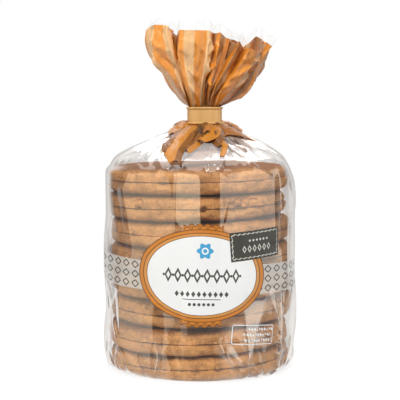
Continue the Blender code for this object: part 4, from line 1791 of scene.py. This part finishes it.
def tail_ink(tree, share, rise):
    """Stripes along the tail, scaled by its shade: ink tone and painted light, with a wavy end."""
    wave = noise(tree, node_of(tree, "ShaderNodeCombineXYZ", X=share * 34, Y=rise).outputs[0], 1.0, 1, 0.5)
    cover = (rise + wave * 0.4 - 0.2 < TAIL_CLEAR) * 0.96
    across = (share - 0.5) * GIRTH / sum(STRIPE_WIDTHS) + 10
    striped = colour_between(tree, across.math("FRACT") < STRIPE_DUTY, TAIL_BEIGE_IN_SHADE, TAIL_ORANGE)
    return cover, vector_math(tree, "SCALE", striped, Scale=point_value(tree, "shade"))


tail_film = printed_film("film_of_the_tails", tail_ink, 0.5, 0.35, THIN_TINT, (GIRTH, 40.0), 0.5)
tails.data.materials.append(tail_film)
print("their print ends at", TAIL_CLEAR, "of their length")

# %% [markdown]
# ## Gold band
#
# The band is a flat strip bent round the neck into an oval, with a round bead rolled along each edge.
# Its section is carried round the oval, with many steps so that its ends stay round.


# %% The band
BEAD_STEPS = 11
END_STEPS = 48
BAND_ANGLE = math.radians(50)


def band_section():
    """Out and up along the strip's section, from the top inner corner down the outside and back."""
    half, wall = BAND_HEIGHT / 2, BAND_WALL / 2
    beads = [
        (wall + BEAD * math.cos(angle), middle + BEAD * math.sin(angle))
        for middle in (half - BEAD, -half + BEAD)
        for angle in np.linspace(math.pi / 2, -math.pi / 2, BEAD_STEPS)
    ]
    return [(-wall, half), *beads, (-wall, -half)]


def gold_band():
    """The section carried round an oval with two straight sides."""
    radius = (BAND_DEPTH - BAND_WALL) / 2
    straight = (BAND_WIDTH - BAND_DEPTH) / 2
    path = []
    for side in (1, -1):
        for angle in np.linspace(-math.pi / 2, math.pi / 2, END_STEPS + 1):
            normal = (side * math.cos(angle), side * math.sin(angle))
            path.append((side * straight + radius * normal[0] + NECK_SHIFT, radius * normal[1], *normal))
    section = band_section()
    middle = BAND_BOTTOM + BAND_HEIGHT / 2
    rings = [[(x + nx * out, y + ny * out, middle + up) for x, y, nx, ny in path] for out, up in section]
    index = np.arange(len(section) * len(path)).reshape(len(section), len(path))
    after, below = np.roll(index, -1, axis=1), np.roll(index, -1, axis=0)
    quads = np.stack([index, below, np.roll(below, -1, axis=1), after], axis=-1).reshape(-1, 4)
    mesh = folded_mesh("gold_band", np.array(rings).reshape(-1, 3), quads.tolist(), BAND_ANGLE)
    return new_object("gold_band", mesh)


def gold_material():
    """Satin gold plastic with fine brushing round the strip."""
    made, tree, out = new_material("gold_strip")
    squeeze = node_of(tree, "ShaderNodeMapping", Vector=object_place(tree), Scale=(1, 1, 0.04))
    brushed = noise(tree, squeeze.outputs[0], 900, 3, 0.6)
    colour = colour_between(tree, brushed, linear(196, 146, 84), linear(228, 186, 122))
    bump = node_of(tree, "ShaderNodeBump", Height=brushed, Strength=0.12, Distance=0.0002)
    tree.links.new(plain_shader(tree, colour, 0.42, bump.outputs[0], Metallic=0.15), out.inputs[0])
    return made


band = gold_band()
band.data.materials.append(gold_material())
print("band", len(band.data.polygons), "faces")

# %% [markdown]
# ## Pieces on the body
#
# Every piece rides on the one body. The film, the ruffle and the cookies together stand for the solid
# bag, and the fine band stands for the plain one.

# %% Ride and replace
for piece in (*contents, body_film, ruffle, tails, band):
    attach(piece, "root")
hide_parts("bag")
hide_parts("neck_band")
